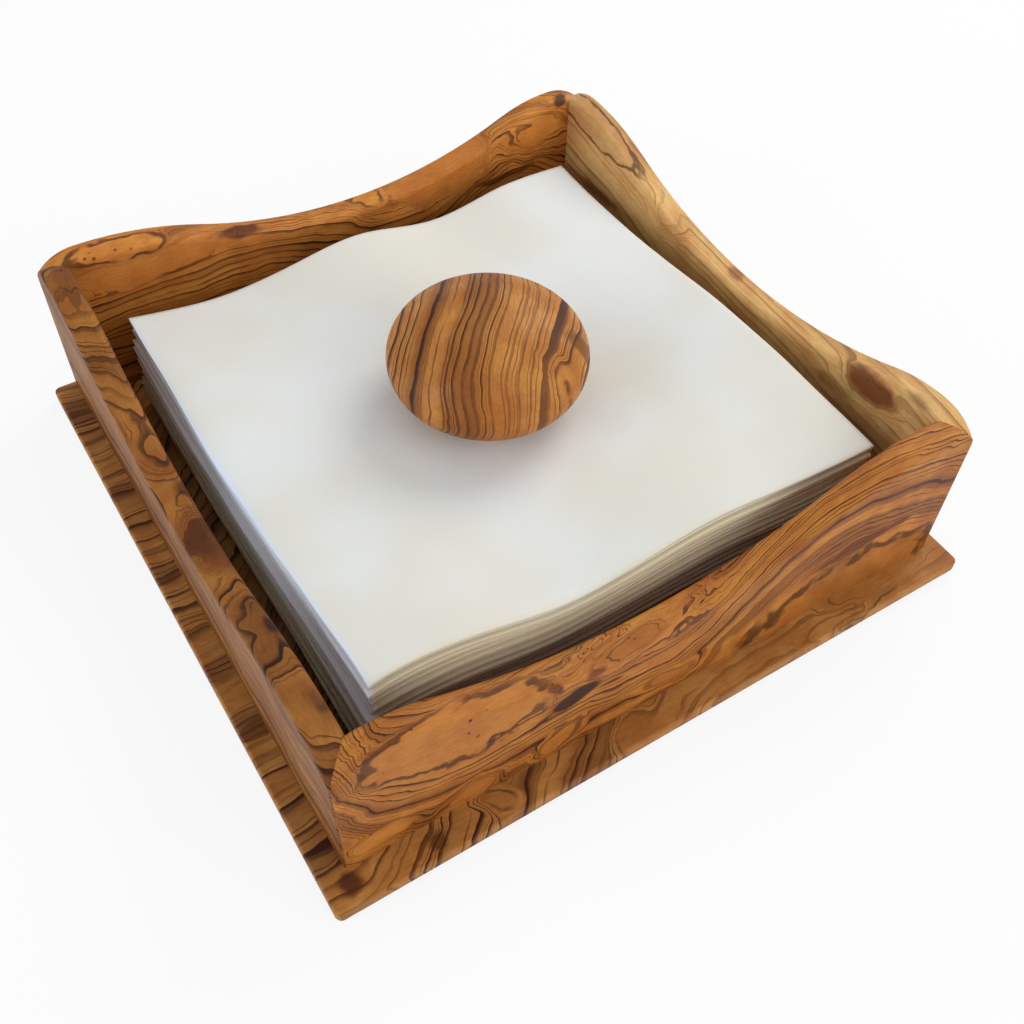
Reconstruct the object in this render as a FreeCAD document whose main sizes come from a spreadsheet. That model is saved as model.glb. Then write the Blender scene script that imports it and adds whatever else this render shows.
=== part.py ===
"""Square wooden napkin tray with a projecting base board, four mitred walls with
wave-shaped top edges, a stack of folded napkins and a loose pebble-shaped weight.

Frame: millimetres, +Z up, +X along the front wall to the right, +Y to the back.
The origin is the centre of the base board's underside.
"""
import FreeCAD, Part
import os
import Sketcher

DOC = FreeCAD.newDocument("napkin_tray")

# Sketcher's numbers for its axes and for the points of a line or an arc
X_AXIS, Y_AXIS = range(-1, -3, -1)
START, END, CENTRE = range(1, 4)
ORIGIN_POINT = (X_AXIS, START)

# Rounds of lowering the weight; degree of the napkins' top face and how far it
# reaches past the napkins' sides before it is trimmed
SEATING_STEPS = 8
BED_DEGREE = 2
BED_OVERHANG = 1.0

# ---------------------------------------------------------------------------
# Driving dimensions
# ---------------------------------------------------------------------------

DIMENSIONS = [
    ("finger_gap", 10.5, "mean gap between the napkins and each wall"),
    ("wall_thickness", 9.0, "thickness of each wall"),
    ("peak_front_left", 50.5, "highest wall point by the front left corner"),
    ("peak_front_right", 54.5, "highest wall point by the front right corner"),
    ("peak_back_right", 54.0, "highest wall point by the back right corner"),
    ("peak_back_left", 55.0, "highest wall point by the back left corner"),
    ("peak_from_end", 13.0, "distance of the highest points from the wall's ends"),
    ("corner_drop", 6.0, "fall of the top edge from the highest point to the corner"),
    ("shoulder_radius", 52.0, "radius of the tighter of the wave's two shoulders"),
    ("dip_height_front", 34.0, "lowest height of the front wall"),
    ("dip_height_right", 37.5, "lowest height of the right wall"),
    ("dip_height_back", 37.6, "lowest height of the back wall"),
    ("dip_height_left", 33.5, "lowest height of the left wall"),
    ("dip_lead_front", 7.5, "front dip, nearer to the left end than the middle"),
    ("dip_lead_right", 2.7, "right dip, nearer to the front end than the middle"),
    ("dip_lead_back", 7.4, "back dip, nearer to the right end than the middle"),
    ("dip_lead_left", 2.0, "left dip, nearer to the back end than the middle"),
    ("top_round_outer", 1.4, "rounding of the top edge on the outer face"),
    ("top_round_inner", 2.2, "rounding of the top edge on the inner face"),
    ("arris_flat", 0.9, "length of wall taken off by the worn vertical arris"),
    ("margin_left", 7.5, "board beyond the left wall"),
    ("margin_right", 4.5, "board beyond the right wall"),
    ("margin_front", 10.0, "board beyond the front wall"),
    ("margin_back", 2.0, "board beyond the back wall"),
    ("board_thickness", 5.0, "thickness of the base board"),
    ("board_corner_radius", 2.0, "plan radius of the board's corners"),
    ("board_top_round", 0.8, "rounding of the board's upper edge"),
    ("board_under_bevel", 1.2, "bevel of the board's lower edge"),
    ("spline_thickness", 2.0, "thickness of each loose tongue in a mitre"),
    ("spline_width", 7.0, "width of a tongue, half of it in either wall"),
    ("spline_height", 30.0, "height of a tongue"),
    ("spline_lift", 4.0, "height of a tongue's foot above the board"),
    ("spline_inset", 3.2, "tongue centre behind each wall's inner face"),
    ("spline_play", 0.1, "clearance round a tongue in its groove"),
    ("screw_spacing", 124.0, "distance between the two screws of one wall"),
    ("screw_diameter", 3.0, "shank diameter of the screws"),
    ("screw_head_diameter", 6.0, "head diameter of the screws"),
    ("screw_length", 14.0, "length of the screws"),
    ("screw_tip_length", 2.5, "length of the pointed end"),
    ("screw_slot_width", 0.9, "width of the driver slot"),
    ("screw_slot_depth", 0.8, "depth of the driver slot"),
    ("screw_play", 0.1, "radial clearance round a screw"),
    ("napkin_side", 165.0, "side of a folded napkin"),
    ("napkin_shift", 1.5, "stack nearer the front wall than the middle"),
    ("valley_from_left", 45.0, "first valley of the stack's top, from its left side"),
    ("crest_from_left", 71.0, "crest beside that valley, from the stack's left side"),
    ("swell_from_right", 68.0, "last swell or valley, from the stack's right side"),
    ("front_left_rise", 49.5, "stack height, front edge, left corner"),
    ("front_valley_rise", 43.0, "height drawn to, front edge, valley"),
    ("front_crest_rise", 36.0, "height drawn to, front edge, crest"),
    ("front_swell_rise", 45.0, "height drawn to, front edge, swell"),
    ("front_right_rise", 39.0, "stack height, front edge, right corner"),
    ("middle_left_rise", 28.5, "height drawn to, across the weight, left side"),
    ("middle_valley_rise", 29.5, "height drawn to, across the weight, valley"),
    ("middle_crest_rise", 27.0, "height drawn to, across the weight, crest"),
    ("middle_swell_rise", 25.5, "height drawn to, across the weight, swell"),
    ("middle_right_rise", 38.0, "height drawn to, across the weight, right side"),
    ("back_left_rise", 36.0, "stack height, back edge, left corner"),
    ("back_valley_rise", 27.5, "height drawn to, back edge, valley"),
    ("back_crest_rise", 40.5, "height drawn to, back edge, crest"),
    ("back_swell_rise", 31.0, "height drawn to, back edge, swell"),
    ("back_right_rise", 34.5, "stack height, back edge, right corner"),
    ("napkin_thickness", 1.5, "thickness of one folded napkin"),
    ("layer_gap", 0.3, "gap between curved faces that rest on each other"),
    ("weight_radius", 30.0, "half width of the weight"),
    ("weight_half_height", 18.0, "half height of the weight"),
    ("weight_rim_radius", 12.5, "radius of the weight's rim in side view"),
    ("weight_right", -1.0, "weight centre to the right of the stack's centre"),
    ("weight_back", -3.5, "weight centre behind the stack's centre"),
]

FOLLOWING = [
    ("wall_frame", "=napkin_side + 2 * (wall_thickness + finger_gap)",
     "outer side of the square formed by the four walls"),
]

sheet = DOC.addObject("Spreadsheet::Sheet", "sizes")
for row, (alias, value, meaning) in enumerate(DIMENSIONS + FOLLOWING, start=1):
    sheet.set("A%d" % row, alias)
    sheet.set("B%d" % row, str(value))
    sheet.setAlias("B%d" % row, alias)
    sheet.set("C%d" % row, meaning)
DOC.recompute()

# Expressions that several pieces share
TRAY_X = "(sizes.margin_left - sizes.margin_right) / 2"
TRAY_Y = "(sizes.margin_front - sizes.margin_back) / 2"
HALF_FRAME = "sizes.wall_frame / 2"
STACK_Y = TRAY_Y + " - sizes.napkin_shift"
HIGHEST = "max(sizes.peak_front_left; sizes.peak_front_right; " \
    "sizes.peak_back_right; sizes.peak_back_left)"


# ---------------------------------------------------------------------------
# Helpers
# ---------------------------------------------------------------------------

def size(alias):
    """Value of one driving dimension, in millimetres."""
    return float(sheet.get(alias))


def vector(x_value, y_value):
    return FreeCAD.Vector(x_value, y_value, 0)


def new_body(name):
    body = DOC.addObject("PartDesign::Body", name)
    body.Label = name
    return body


def new_sketch(body, name, plane):
    """Sketch on one of the body's own origin planes."""
    sketch = body.newObject("Sketcher::SketchObject", name)
    support = next(o for o in body.Origin.OriginFeatures if o.Role == plane)
    sketch.AttachmentSupport = [(support, "")]
    sketch.MapMode = "FlatFace"
    return sketch


def bind(sketch, kind, references, value, expression):
    """Dimensional constraint whose value follows an expression."""
    index = sketch.addConstraint(Sketcher.Constraint(kind, *references, value))
    sketch.setExpression("Constraints[%d]" % index, expression)


def relate(sketch, kind, *references):
    """Geometric constraint."""
    sketch.addConstraint(Sketcher.Constraint(kind, *references))


def closed_polygon(sketch, corners):
    """Closed chain of lines through the corners; returns the lines' numbers."""
    lines = []
    for i, corner in enumerate(corners):
        following = corners[(i + 1) % len(corners)]
        segment = Part.LineSegment(vector(*corner), vector(*following))
        lines.append(sketch.addGeometry(segment, False))
    for i, line in enumerate(lines):
        following = lines[(i + 1) % len(lines)]
        relate(sketch, "Coincident", line, END, following, START)
    return lines


def centred_rectangle(sketch, width, depth, width_expr, depth_expr):
    """Axis-parallel rectangle centred on the sketch's origin."""
    x_value = width / 2
    y_value = depth / 2
    corners = [(-x_value, -y_value), (x_value, -y_value),
               (x_value, y_value), (-x_value, y_value)]
    lines = closed_polygon(sketch, corners)
    for line in (lines[0], lines[2]):
        relate(sketch, "Horizontal", line)
    for line in (lines[1], lines[3]):
        relate(sketch, "Vertical", line)
    relate(sketch, "Symmetric", lines[0], START, lines[2], START, *ORIGIN_POINT)
    bind(sketch, "DistanceX", (lines[0], START, lines[0], END), width, width_expr)
    bind(sketch, "DistanceY", (lines[1], START, lines[1], END), depth, depth_expr)
    return lines


def extrude(body, kind, name, sketch, length_expr, reverse):
    """Pad or Pocket of a sketch by a bound length."""
    feature = body.newObject("PartDesign::" + kind, name)
    feature.Profile = sketch
    feature.setExpression("Length", length_expr)
    feature.Reversed = reverse
    sketch.Visibility = False
    return feature


def must_cut(body, step):
    """Run one removing step and stop if it left the body's volume unchanged."""
    before = body.Shape.Volume
    feature = step()
    DOC.recompute()
    if body.Shape.Volume > before - 1e-6:
        raise RuntimeError("%s cut nothing from %s" % (feature.Name, body.Name))
    return feature


def edges_where(shape, test):
    """Names of the edges that pass a test on the edge."""
    return ["Edge%d" % (i + 1) for i, e in enumerate(shape.Edges) if test(e)]


def place(thing, x_expr, y_expr, z_expr, turn_deg=0.0):
    """Turn about the vertical, then move by bound distances."""
    axis = FreeCAD.Vector(0, 0, 1)
    thing.Placement = FreeCAD.Placement(
        FreeCAD.Vector(0, 0, 0), FreeCAD.Rotation(axis, turn_deg))
    thing.setExpression("Placement.Base.x", x_expr)
    thing.setExpression("Placement.Base.y", y_expr)
    thing.setExpression("Placement.Base.z", z_expr)


# ---------------------------------------------------------------------------
# Walls
# ---------------------------------------------------------------------------
# A wall is drawn in side view on its outer face, local X along the wall, and
# padded inwards along +Y.  Its top edge is a chain of five tangent arcs: a tight
# end arc, a shoulder and, between the shoulders, one wide dip.  The two peaks
# belong to the tray's corners, so neighbouring walls meet at one height, and the
# dip lies a little before the wall's middle.  The mitre is cut afterwards, so the
# rounded top edges of two neighbouring walls meet on the mitre line.

def touching_radii(run, rise):
    """Sum of the radii of two arcs that turn opposite ways and touch.

    One arc ends level at a height of rise and a distance of run from the level
    end of the other: run**2 + (rise - radii)**2 = radii**2.
    """
    return (run ** 2 + rise ** 2) / (2 * rise)


def arc_between(sketch, centre, first, last):
    """Arc drawn anticlockwise from first to last about a centre."""
    middle = vector(*centre)
    begin = vector(*first) - middle
    finish = vector(*last) - middle
    circle = Part.Circle(middle, FreeCAD.Vector(0, 0, 1), begin.Length)
    x_dir = FreeCAD.Vector(1, 0, 0)
    angles = []
    for arm in (begin, finish):
        angle = x_dir.getAngle(arm)
        angles.append(angle if arm.y >= 0 else -angle)
    return sketch.addGeometry(Part.ArcOfCircle(circle, *angles), False)


def draw_wall_side(sketch, dip_side, corners):
    """Side view of a wall between the two named corners of the tray."""
    half = size("wall_frame") / 2
    inset = size("peak_from_end")
    drop = size("corner_drop")
    dip = size("dip_height_" + dip_side)
    dip_x = -size("dip_lead_" + dip_side)
    peaks = [size("peak_" + corner) for corner in corners]
    runs = [half - inset + dip_x, half - inset - dip_x]
    radii = [touching_radii(run, peak - dip) for run, peak in zip(runs, peaks)]
    hollow_radius = min(radii) - size("shoulder_radius")
    end_radius = touching_radii(inset, drop)

    foot = sketch.addGeometry(Part.LineSegment(vector(-half, 0), vector(half, 0)), False)
    ends = []
    shoulders = []
    rounds = []
    joins = []
    for sign, run, peak, both in zip((-1, 1), runs, peaks, radii):
        corner = peak - drop
        peak_x = sign * (half - inset)
        upright = Part.LineSegment(vector(sign * half, 0), vector(sign * half, corner))
        ends.append(sketch.addGeometry(upright, False))
        tip = [(sign * half, corner), (peak_x, peak)]
        rounds.append(arc_between(sketch, (peak_x, peak - end_radius), *tip[::sign]))
        share = hollow_radius / both
        join = (dip_x + sign * run * share, dip + (peak - dip) * share)
        joins.append(join)
        slope = [(peak_x, peak), join]
        low = peak - both + hollow_radius
        shoulders.append(arc_between(sketch, (peak_x, low), *slope[::sign]))
    hollow = arc_between(sketch, (dip_x, dip + hollow_radius), *joins)

    relate(sketch, "Horizontal", foot)
    relate(sketch, "Symmetric", foot, START, foot, END, *ORIGIN_POINT)
    bind(sketch, "DistanceX", (foot, START, foot, END), 2 * half, "sizes.wall_frame")
    near, far = (START, END), (END, START)
    for i, (inner, outer) in enumerate((near, far)):
        relate(sketch, "Vertical", ends[i])
        relate(sketch, "Coincident", foot, near[i], ends[i], START)
        relate(sketch, "Coincident", ends[i], END, rounds[i], outer)
        relate(sketch, "Tangent", rounds[i], inner, shoulders[i], outer)
        relate(sketch, "Tangent", shoulders[i], inner, hollow, near[i])
        relate(sketch, "Vertical", rounds[i], CENTRE, rounds[i], inner)
        peak_expr = "sizes.peak_" + corners[i]
        bind(sketch, "DistanceY", (ends[i], START, ends[i], END), peaks[i] - drop,
             peak_expr + " - sizes.corner_drop")
        bind(sketch, "DistanceY", (ends[i], START, rounds[i], inner), peaks[i], peak_expr)
        span = [(ends[i], END), (rounds[i], inner)][::(1, -1)[i]]
        bind(sketch, "DistanceX", (*span[0], *span[1]), inset, "sizes.peak_from_end")
    tighter = radii.index(min(radii))
    bind(sketch, "Radius", (shoulders[tighter],), size("shoulder_radius"),
         "sizes.shoulder_radius")
    lowest = sketch.addGeometry(Part.Point(vector(dip_x, dip)), True)
    relate(sketch, "PointOnObject", lowest, START, hollow)
    relate(sketch, "Vertical", lowest, START, hollow, CENTRE)
    bind(sketch, "DistanceX", (lowest, START, *ORIGIN_POINT), -dip_x,
         "sizes.dip_lead_" + dip_side)
    bind(sketch, "DistanceY", (*ORIGIN_POINT, lowest, START), dip,
         "sizes.dip_height_" + dip_side)


def draw_mitre_waste(sketch):
    """Five-sided piece cut from the wall's left end, seen from above.

    The long side is the mitre plane at 45 degrees.  The short side next to it
    is the worn flat of the vertical arris, square to the mitre plane.
    """
    over = 2.0
    end = -size("wall_frame") / 2
    flat = size("arris_flat") / 2
    deep = size("wall_thickness") + over
    corners = [(end + flat, flat), (end + deep, deep), (end - over, deep),
               (end - over, -over), (end + 2 * flat + over, -over)]
    lines = closed_polygon(sketch, corners)
    mitre, back, side, front, worn = lines
    relate(sketch, "Horizontal", back)
    relate(sketch, "Vertical", side)
    relate(sketch, "Horizontal", front)
    relate(sketch, "Perpendicular", mitre, worn)
    quarter = 0.7853981633974483
    sketch.addConstraint(Sketcher.Constraint("Angle", X_AXIS, START, mitre, START, quarter))
    bind(sketch, "DistanceX", (mitre, START, *ORIGIN_POINT), -end - flat,
         "(sizes.wall_frame - sizes.arris_flat) / 2")
    bind(sketch, "DistanceY", (*ORIGIN_POINT, mitre, START), flat, "sizes.arris_flat / 2")
    bind(sketch, "DistanceY", (*ORIGIN_POINT, mitre, END), deep,
         "sizes.wall_thickness + %g" % over)
    bind(sketch, "DistanceX", (side, START, *ORIGIN_POINT), -end + over,
         "sizes.wall_frame / 2 + %g" % over)
    bind(sketch, "DistanceY", (side, END, *ORIGIN_POINT), over, "%g" % over)


def draw_groove(sketch):
    """Slanted rectangle of the tongue and its play, square to the mitre plane."""
    width = size("spline_width") + 2 * size("spline_play")
    thick = size("spline_thickness") + 2 * size("spline_play")
    inset = size("spline_inset")
    mid_x = -size("wall_frame") / 2 + size("wall_thickness") - inset
    mid_y = size("wall_thickness") - inset
    slope = 0.5 ** 0.5
    along = (width / 2 * slope, -width / 2 * slope)
    across = (thick / 2 * slope, thick / 2 * slope)
    corners = [(mid_x - along[0] - across[0], mid_y - along[1] - across[1]),
               (mid_x + along[0] - across[0], mid_y + along[1] - across[1]),
               (mid_x + along[0] + across[0], mid_y + along[1] + across[1]),
               (mid_x - along[0] + across[0], mid_y - along[1] + across[1])]
    lines = closed_polygon(sketch, corners)
    relate(sketch, "Perpendicular", lines[0], lines[1])
    relate(sketch, "Perpendicular", lines[1], lines[2])
    relate(sketch, "Perpendicular", lines[2], lines[3])
    middle = sketch.addGeometry(Part.Point(vector(mid_x, mid_y)), True)
    relate(sketch, "Symmetric", lines[0], START, lines[2], START, middle, START)
    slant = -0.7853981633974483
    sketch.addConstraint(Sketcher.Constraint("Angle", X_AXIS, START, lines[0], START, slant))
    bind(sketch, "Distance", (lines[0], START, lines[0], END), width,
         "sizes.spline_width + 2 * sizes.spline_play")
    bind(sketch, "Distance", (lines[1], START, lines[1], END), thick,
         "sizes.spline_thickness + 2 * sizes.spline_play")
    bind(sketch, "DistanceX", (middle, START, *ORIGIN_POINT), -mid_x,
         "sizes.wall_frame / 2 - sizes.wall_thickness + sizes.spline_inset")
    bind(sketch, "DistanceY", (*ORIGIN_POINT, middle, START), mid_y,
         "sizes.wall_thickness - sizes.spline_inset")


def draw_pilot_holes(sketch):
    """Two circles on the middle line of the wall's foot."""
    radius = size("screw_diameter") / 2 + size("screw_play")
    reach = size("screw_spacing") / 2
    mid_y = size("wall_thickness") / 2
    for sign in (-1, 1):
        circle = Part.Circle(vector(sign * reach, mid_y), FreeCAD.Vector(0, 0, 1), radius)
        hole = sketch.addGeometry(circle, False)
        bind(sketch, "Radius", (hole,), radius, "sizes.screw_diameter / 2 + sizes.screw_play")
        ends = (hole, CENTRE, *ORIGIN_POINT) if sign < 0 else (*ORIGIN_POINT, hole, CENTRE)
        bind(sketch, "DistanceX", ends, reach, "sizes.screw_spacing / 2")
        bind(sketch, "DistanceY", (*ORIGIN_POINT, hole, CENTRE), mid_y,
             "sizes.wall_thickness / 2")


def is_top_arc(edge, y_value):
    """Curved edge of the wave that lies on the face at this Y."""
    box = edge.BoundBox
    on_face = abs(box.YMin - y_value) < 1e-5 and abs(box.YMax - y_value) < 1e-5
    return on_face and isinstance(edge.Curve, Part.Circle)


def round_top(body, name, y_value, radius_alias):
    """Round the wave's edge on one face of the wall."""
    base = body.Tip
    fillet = body.newObject("PartDesign::Fillet", name)
    fillet.Base = (base, edges_where(base.Shape, lambda e: is_top_arc(e, y_value)))
    fillet.setExpression("Radius", "sizes." + radius_alias)
    return fillet


def build_wall(dip_side, corners, x_expr, y_expr, turn_deg):
    name = dip_side + "_wall"
    body = new_body(name)
    side = new_sketch(body, name + "_side", "XZ_Plane")
    draw_wall_side(side, dip_side, corners)
    extrude(body, "Pad", name + "_blank", side, "sizes.wall_thickness", True)
    DOC.recompute()
    must_cut(body, lambda: round_top(body, name + "_outer_round", 0.0, "top_round_outer"))
    inner = size("wall_thickness")
    must_cut(body, lambda: round_top(body, name + "_inner_round", inner, "top_round_inner"))

    waste = new_sketch(body, name + "_mitre_plan", "XY_Plane")
    draw_mitre_waste(waste)
    mitre = must_cut(body, lambda: extrude(
        body, "Pocket", name + "_mitre", waste, HIGHEST + " + 1", True))

    groove_plan = new_sketch(body, name + "_groove_plan", "XY_Plane")
    groove_plan.AttachmentOffset = FreeCAD.Placement(
        FreeCAD.Vector(0, 0, 0), FreeCAD.Rotation())
    groove_plan.setExpression("AttachmentOffset.Base.z",
                              "sizes.spline_lift - sizes.spline_play")
    draw_groove(groove_plan)
    groove = must_cut(body, lambda: extrude(
        body, "Pocket", name + "_groove", groove_plan,
        "sizes.spline_height + 2 * sizes.spline_play", True))

    def mirror():
        other_end = body.newObject("PartDesign::Mirrored", name + "_other_end")
        other_end.Originals = [mitre, groove]
        plane = next(o for o in body.Origin.OriginFeatures if o.Role == "YZ_Plane")
        other_end.MirrorPlane = (plane, [""])
        body.Tip = other_end
        return other_end

    must_cut(body, mirror)
    pilots = new_sketch(body, name + "_pilot_plan", "XY_Plane")
    draw_pilot_holes(pilots)
    must_cut(body, lambda: extrude(
        body, "Pocket", name + "_pilots", pilots,
        "sizes.screw_length - sizes.board_thickness + 1", True))
    place(body, x_expr, y_expr, "sizes.board_thickness", turn_deg)
    return body


# ---------------------------------------------------------------------------
# Loose tongues in the mitres
# ---------------------------------------------------------------------------

def build_spline(name, side_x, side_y):
    """Upright tongue across the mitre at the corner named by the two signs."""
    body = new_body(name)
    plan = new_sketch(body, name + "_plan", "XY_Plane")
    centred_rectangle(plan, size("spline_width"), size("spline_thickness"),
                      "sizes.spline_width", "sizes.spline_thickness")
    extrude(body, "Pad", name + "_strip", plan, "sizes.spline_height", False)
    reach = "(sizes.wall_frame / 2 - sizes.wall_thickness + sizes.spline_inset)"
    place(body, "%s + %d * %s" % (TRAY_X, side_x, reach),
          "%s + %d * %s" % (TRAY_Y, side_y, reach),
          "sizes.board_thickness + sizes.spline_lift", -45.0 * side_x * side_y)
    return body


# ---------------------------------------------------------------------------
# Base board and screws
# ---------------------------------------------------------------------------

def screw_positions():
    """Expressions of the eight screws, two on the middle line of each wall."""
    reach = "sizes.screw_spacing / 2"
    middle = "(sizes.wall_frame - sizes.wall_thickness) / 2"
    found = []
    for name, side, ends in (("front", -1, ("left", "right")),
                             ("back", 1, ("left", "right"))):
        for end, sign in zip(ends, (-1, 1)):
            found.append(("screw_%s_%s" % (name, end),
                          "%s + %d * %s" % (TRAY_X, sign, reach),
                          "%s + %d * %s" % (TRAY_Y, side, middle)))
    for name, side, ends in (("left", -1, ("front", "back")),
                             ("right", 1, ("front", "back"))):
        for end, sign in zip(ends, (-1, 1)):
            found.append(("screw_%s_%s" % (name, end),
                          "%s + %d * %s" % (TRAY_X, side, middle),
                          "%s + %d * %s" % (TRAY_Y, sign, reach)))
    return found


def drill_board(board):
    """Through holes for the screws, countersunk from the underside."""
    plan = new_sketch(board, "board_hole_plan", "XY_Plane")
    radius = size("screw_diameter") / 2 + size("screw_play")
    for _, x_expr, y_expr in screw_positions():
        spot = vector(sheet.evalExpression(x_expr), sheet.evalExpression(y_expr))
        circle = Part.Circle(spot, FreeCAD.Vector(0, 0, 1), radius)
        hole = plan.addGeometry(circle, False)
        bind(plan, "Radius", (hole,), radius, "sizes.screw_diameter / 2 + sizes.screw_play")
        bind(plan, "DistanceX", (*ORIGIN_POINT, hole, CENTRE), spot.x, x_expr)
        bind(plan, "DistanceY", (*ORIGIN_POINT, hole, CENTRE), spot.y, y_expr)
    DOC.recompute()
    holes = board.newObject("PartDesign::Hole", "board_holes")
    holes.Profile = plan
    plan.Visibility = False
    DOC.recompute()
    holes.Threaded = False
    holes.setExpression("Diameter", "sizes.screw_diameter + 2 * sizes.screw_play")
    holes.DepthType = "ThroughAll"
    holes.HoleCutType = "Countersink"
    holes.setExpression("HoleCutDiameter", "sizes.screw_head_diameter + 2 * sizes.screw_play")
    holes.HoleCutCountersinkAngle = 90
    holes.Reversed = True
    return holes


def build_board():
    board = new_body("base_board")
    plan = new_sketch(board, "board_plan", "XY_Plane")
    width_expr = "sizes.wall_frame + sizes.margin_left + sizes.margin_right"
    depth_expr = "sizes.wall_frame + sizes.margin_front + sizes.margin_back"
    width = size("wall_frame") + size("margin_left") + size("margin_right")
    depth = size("wall_frame") + size("margin_front") + size("margin_back")
    centred_rectangle(plan, width, depth, width_expr, depth_expr)
    extrude(board, "Pad", "board_blank", plan, "sizes.board_thickness", False)
    DOC.recompute()

    def round_edges(name, kind, bound, expression, test):
        base = board.Tip
        feature = board.newObject("PartDesign::" + kind, name)
        feature.Base = (base, edges_where(base.Shape, test))
        feature.setExpression(bound, expression)
        return feature

    top = size("board_thickness")
    must_cut(board, lambda: round_edges(
        "board_corner_round", "Fillet", "Radius", "sizes.board_corner_radius",
        lambda e: e.BoundBox.ZLength > top / 2))
    must_cut(board, lambda: round_edges(
        "board_top_round_edge", "Fillet", "Radius", "sizes.board_top_round",
        lambda e: e.BoundBox.ZMin > top - 1e-5))
    must_cut(board, lambda: round_edges(
        "board_under_bevel_edge", "Chamfer", "Size", "sizes.board_under_bevel",
        lambda e: e.BoundBox.ZMax < 1e-5))
    must_cut(board, lambda: drill_board(board))
    return board


def build_screw(name, x_expr, y_expr):
    """Countersunk slotted wood screw, head down, turned about its own axis."""
    head = size("screw_head_diameter") / 2
    shank = size("screw_diameter") / 2
    length = size("screw_length")
    tip = size("screw_tip_length")
    body = new_body(name)
    half = new_sketch(body, name + "_half", "XZ_Plane")
    corners = [(0, 0), (head, 0), (shank, head - shank), (shank, length - tip), (0, length)]
    face, cone, side, point, axis = closed_polygon(half, corners)
    relate(half, "Coincident", face, START, *ORIGIN_POINT)
    relate(half, "Horizontal", face)
    relate(half, "Vertical", side)
    relate(half, "Vertical", axis)
    bind(half, "DistanceX", (face, START, face, END), head, "sizes.screw_head_diameter / 2")
    bind(half, "DistanceX", (*ORIGIN_POINT, side, START), shank, "sizes.screw_diameter / 2")
    bind(half, "DistanceY", (*ORIGIN_POINT, side, START), head - shank,
         "(sizes.screw_head_diameter - sizes.screw_diameter) / 2")
    bind(half, "DistanceY", (*ORIGIN_POINT, side, END), length - tip,
         "sizes.screw_length - sizes.screw_tip_length")
    bind(half, "DistanceY", (*ORIGIN_POINT, point, END), length, "sizes.screw_length")
    turned = body.newObject("PartDesign::Revolution", name + "_turned")
    turned.Profile = half
    turned.ReferenceAxis = (half, ["V_Axis"])
    turned.Angle = 360
    half.Visibility = False
    DOC.recompute()
    slot_plan = new_sketch(body, name + "_slot_plan", "XY_Plane")
    centred_rectangle(slot_plan, 2 * head + 1, size("screw_slot_width"),
                      "sizes.screw_head_diameter + 1", "sizes.screw_slot_width")
    must_cut(body, lambda: extrude(
        body, "Pocket", name + "_slot", slot_plan, "sizes.screw_slot_depth", True))
    place(body, x_expr, y_expr, "0")
    return body


# ---------------------------------------------------------------------------
# Napkins
# ---------------------------------------------------------------------------
# One wavy face cuts the stack and the top napkin from a square block.  The folds
# pile up at the front left corner, the weight presses the middle down, and the
# edges at the front and the back rise and fall between the corners.

def napkin_bed():
    """Wavy face on top of the stack, drawn towards named heights at three rows.

    The rows lie along the front edge, across the weight and along the back edge.
    The face meets the heights at the four corners; between them it swings less
    than the heights do, and never past them.
    """
    side = size("napkin_side")
    tray_x = (size("margin_left") - size("margin_right")) / 2
    tray_y = (size("margin_front") - size("margin_back")) / 2
    left = tray_x - side / 2
    front = tray_y - size("napkin_shift") - side / 2
    columns = (("left", left - BED_OVERHANG),
               ("valley", left + size("valley_from_left")),
               ("crest", left + size("crest_from_left")),
               ("swell", left + side - size("swell_from_right")),
               ("right", left + side + BED_OVERHANG))
    rows = (("front", front - BED_OVERHANG),
            ("middle", front + side / 2 + size("weight_back")),
            ("back", front + side + BED_OVERHANG))
    foot = size("board_thickness")
    poles = []
    for row, y_value in rows:
        poles.append([])
        for column, x_value in columns:
            rise = foot + size("%s_%s_rise" % (row, column))
            poles[-1].append(FreeCAD.Vector(x_value, y_value, rise))
    across = (3, 1, 1, 3)
    surface = Part.BSplineSurface()
    surface.buildFromPolesMultsKnots(poles, (3, 3), across, (0, 1), (0, 1, 2, 3),
                                     False, False, BED_DEGREE, BED_DEGREE)
    bed = DOC.addObject("Part::Feature", "napkin_bed")
    bed.Shape = surface.toShape()
    return bed


def thicken(name, bed, direction, length_expr, raise_expr):
    """Solid between the bed, raised by an expression, and its copy along Z."""
    layer = DOC.addObject("Part::Extrusion", name)
    layer.Label = name
    layer.Base = bed
    layer.DirMode = "Custom"
    layer.Dir = FreeCAD.Vector(0, 0, direction)
    layer.Solid = True
    layer.setExpression("LengthFwd", length_expr)
    layer.setExpression("Placement.Base.z", raise_expr)
    return layer


def build_napkins(bed):
    room = DOC.addObject("Part::Box", "napkin_room")
    for edge in ("Length", "Width"):
        room.setExpression(edge, "sizes.napkin_side")
    room.setExpression("Height", HIGHEST)
    place(room, TRAY_X + " - sizes.napkin_side / 2", STACK_Y + " - sizes.napkin_side / 2",
          "sizes.board_thickness")
    below = thicken("below_bed", bed, -1, HIGHEST, "0")
    above = thicken("above_bed", bed, 1, "sizes.napkin_thickness", "sizes.layer_gap")
    napkins = []
    for name, layer in (("napkin_stack", below), ("top_napkin", above)):
        napkin = DOC.addObject("Part::Common", name)
        napkin.Base = room
        napkin.Tool = layer
        napkins.append(napkin)
    return napkins


# ---------------------------------------------------------------------------
# Weight
# ---------------------------------------------------------------------------

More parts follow.
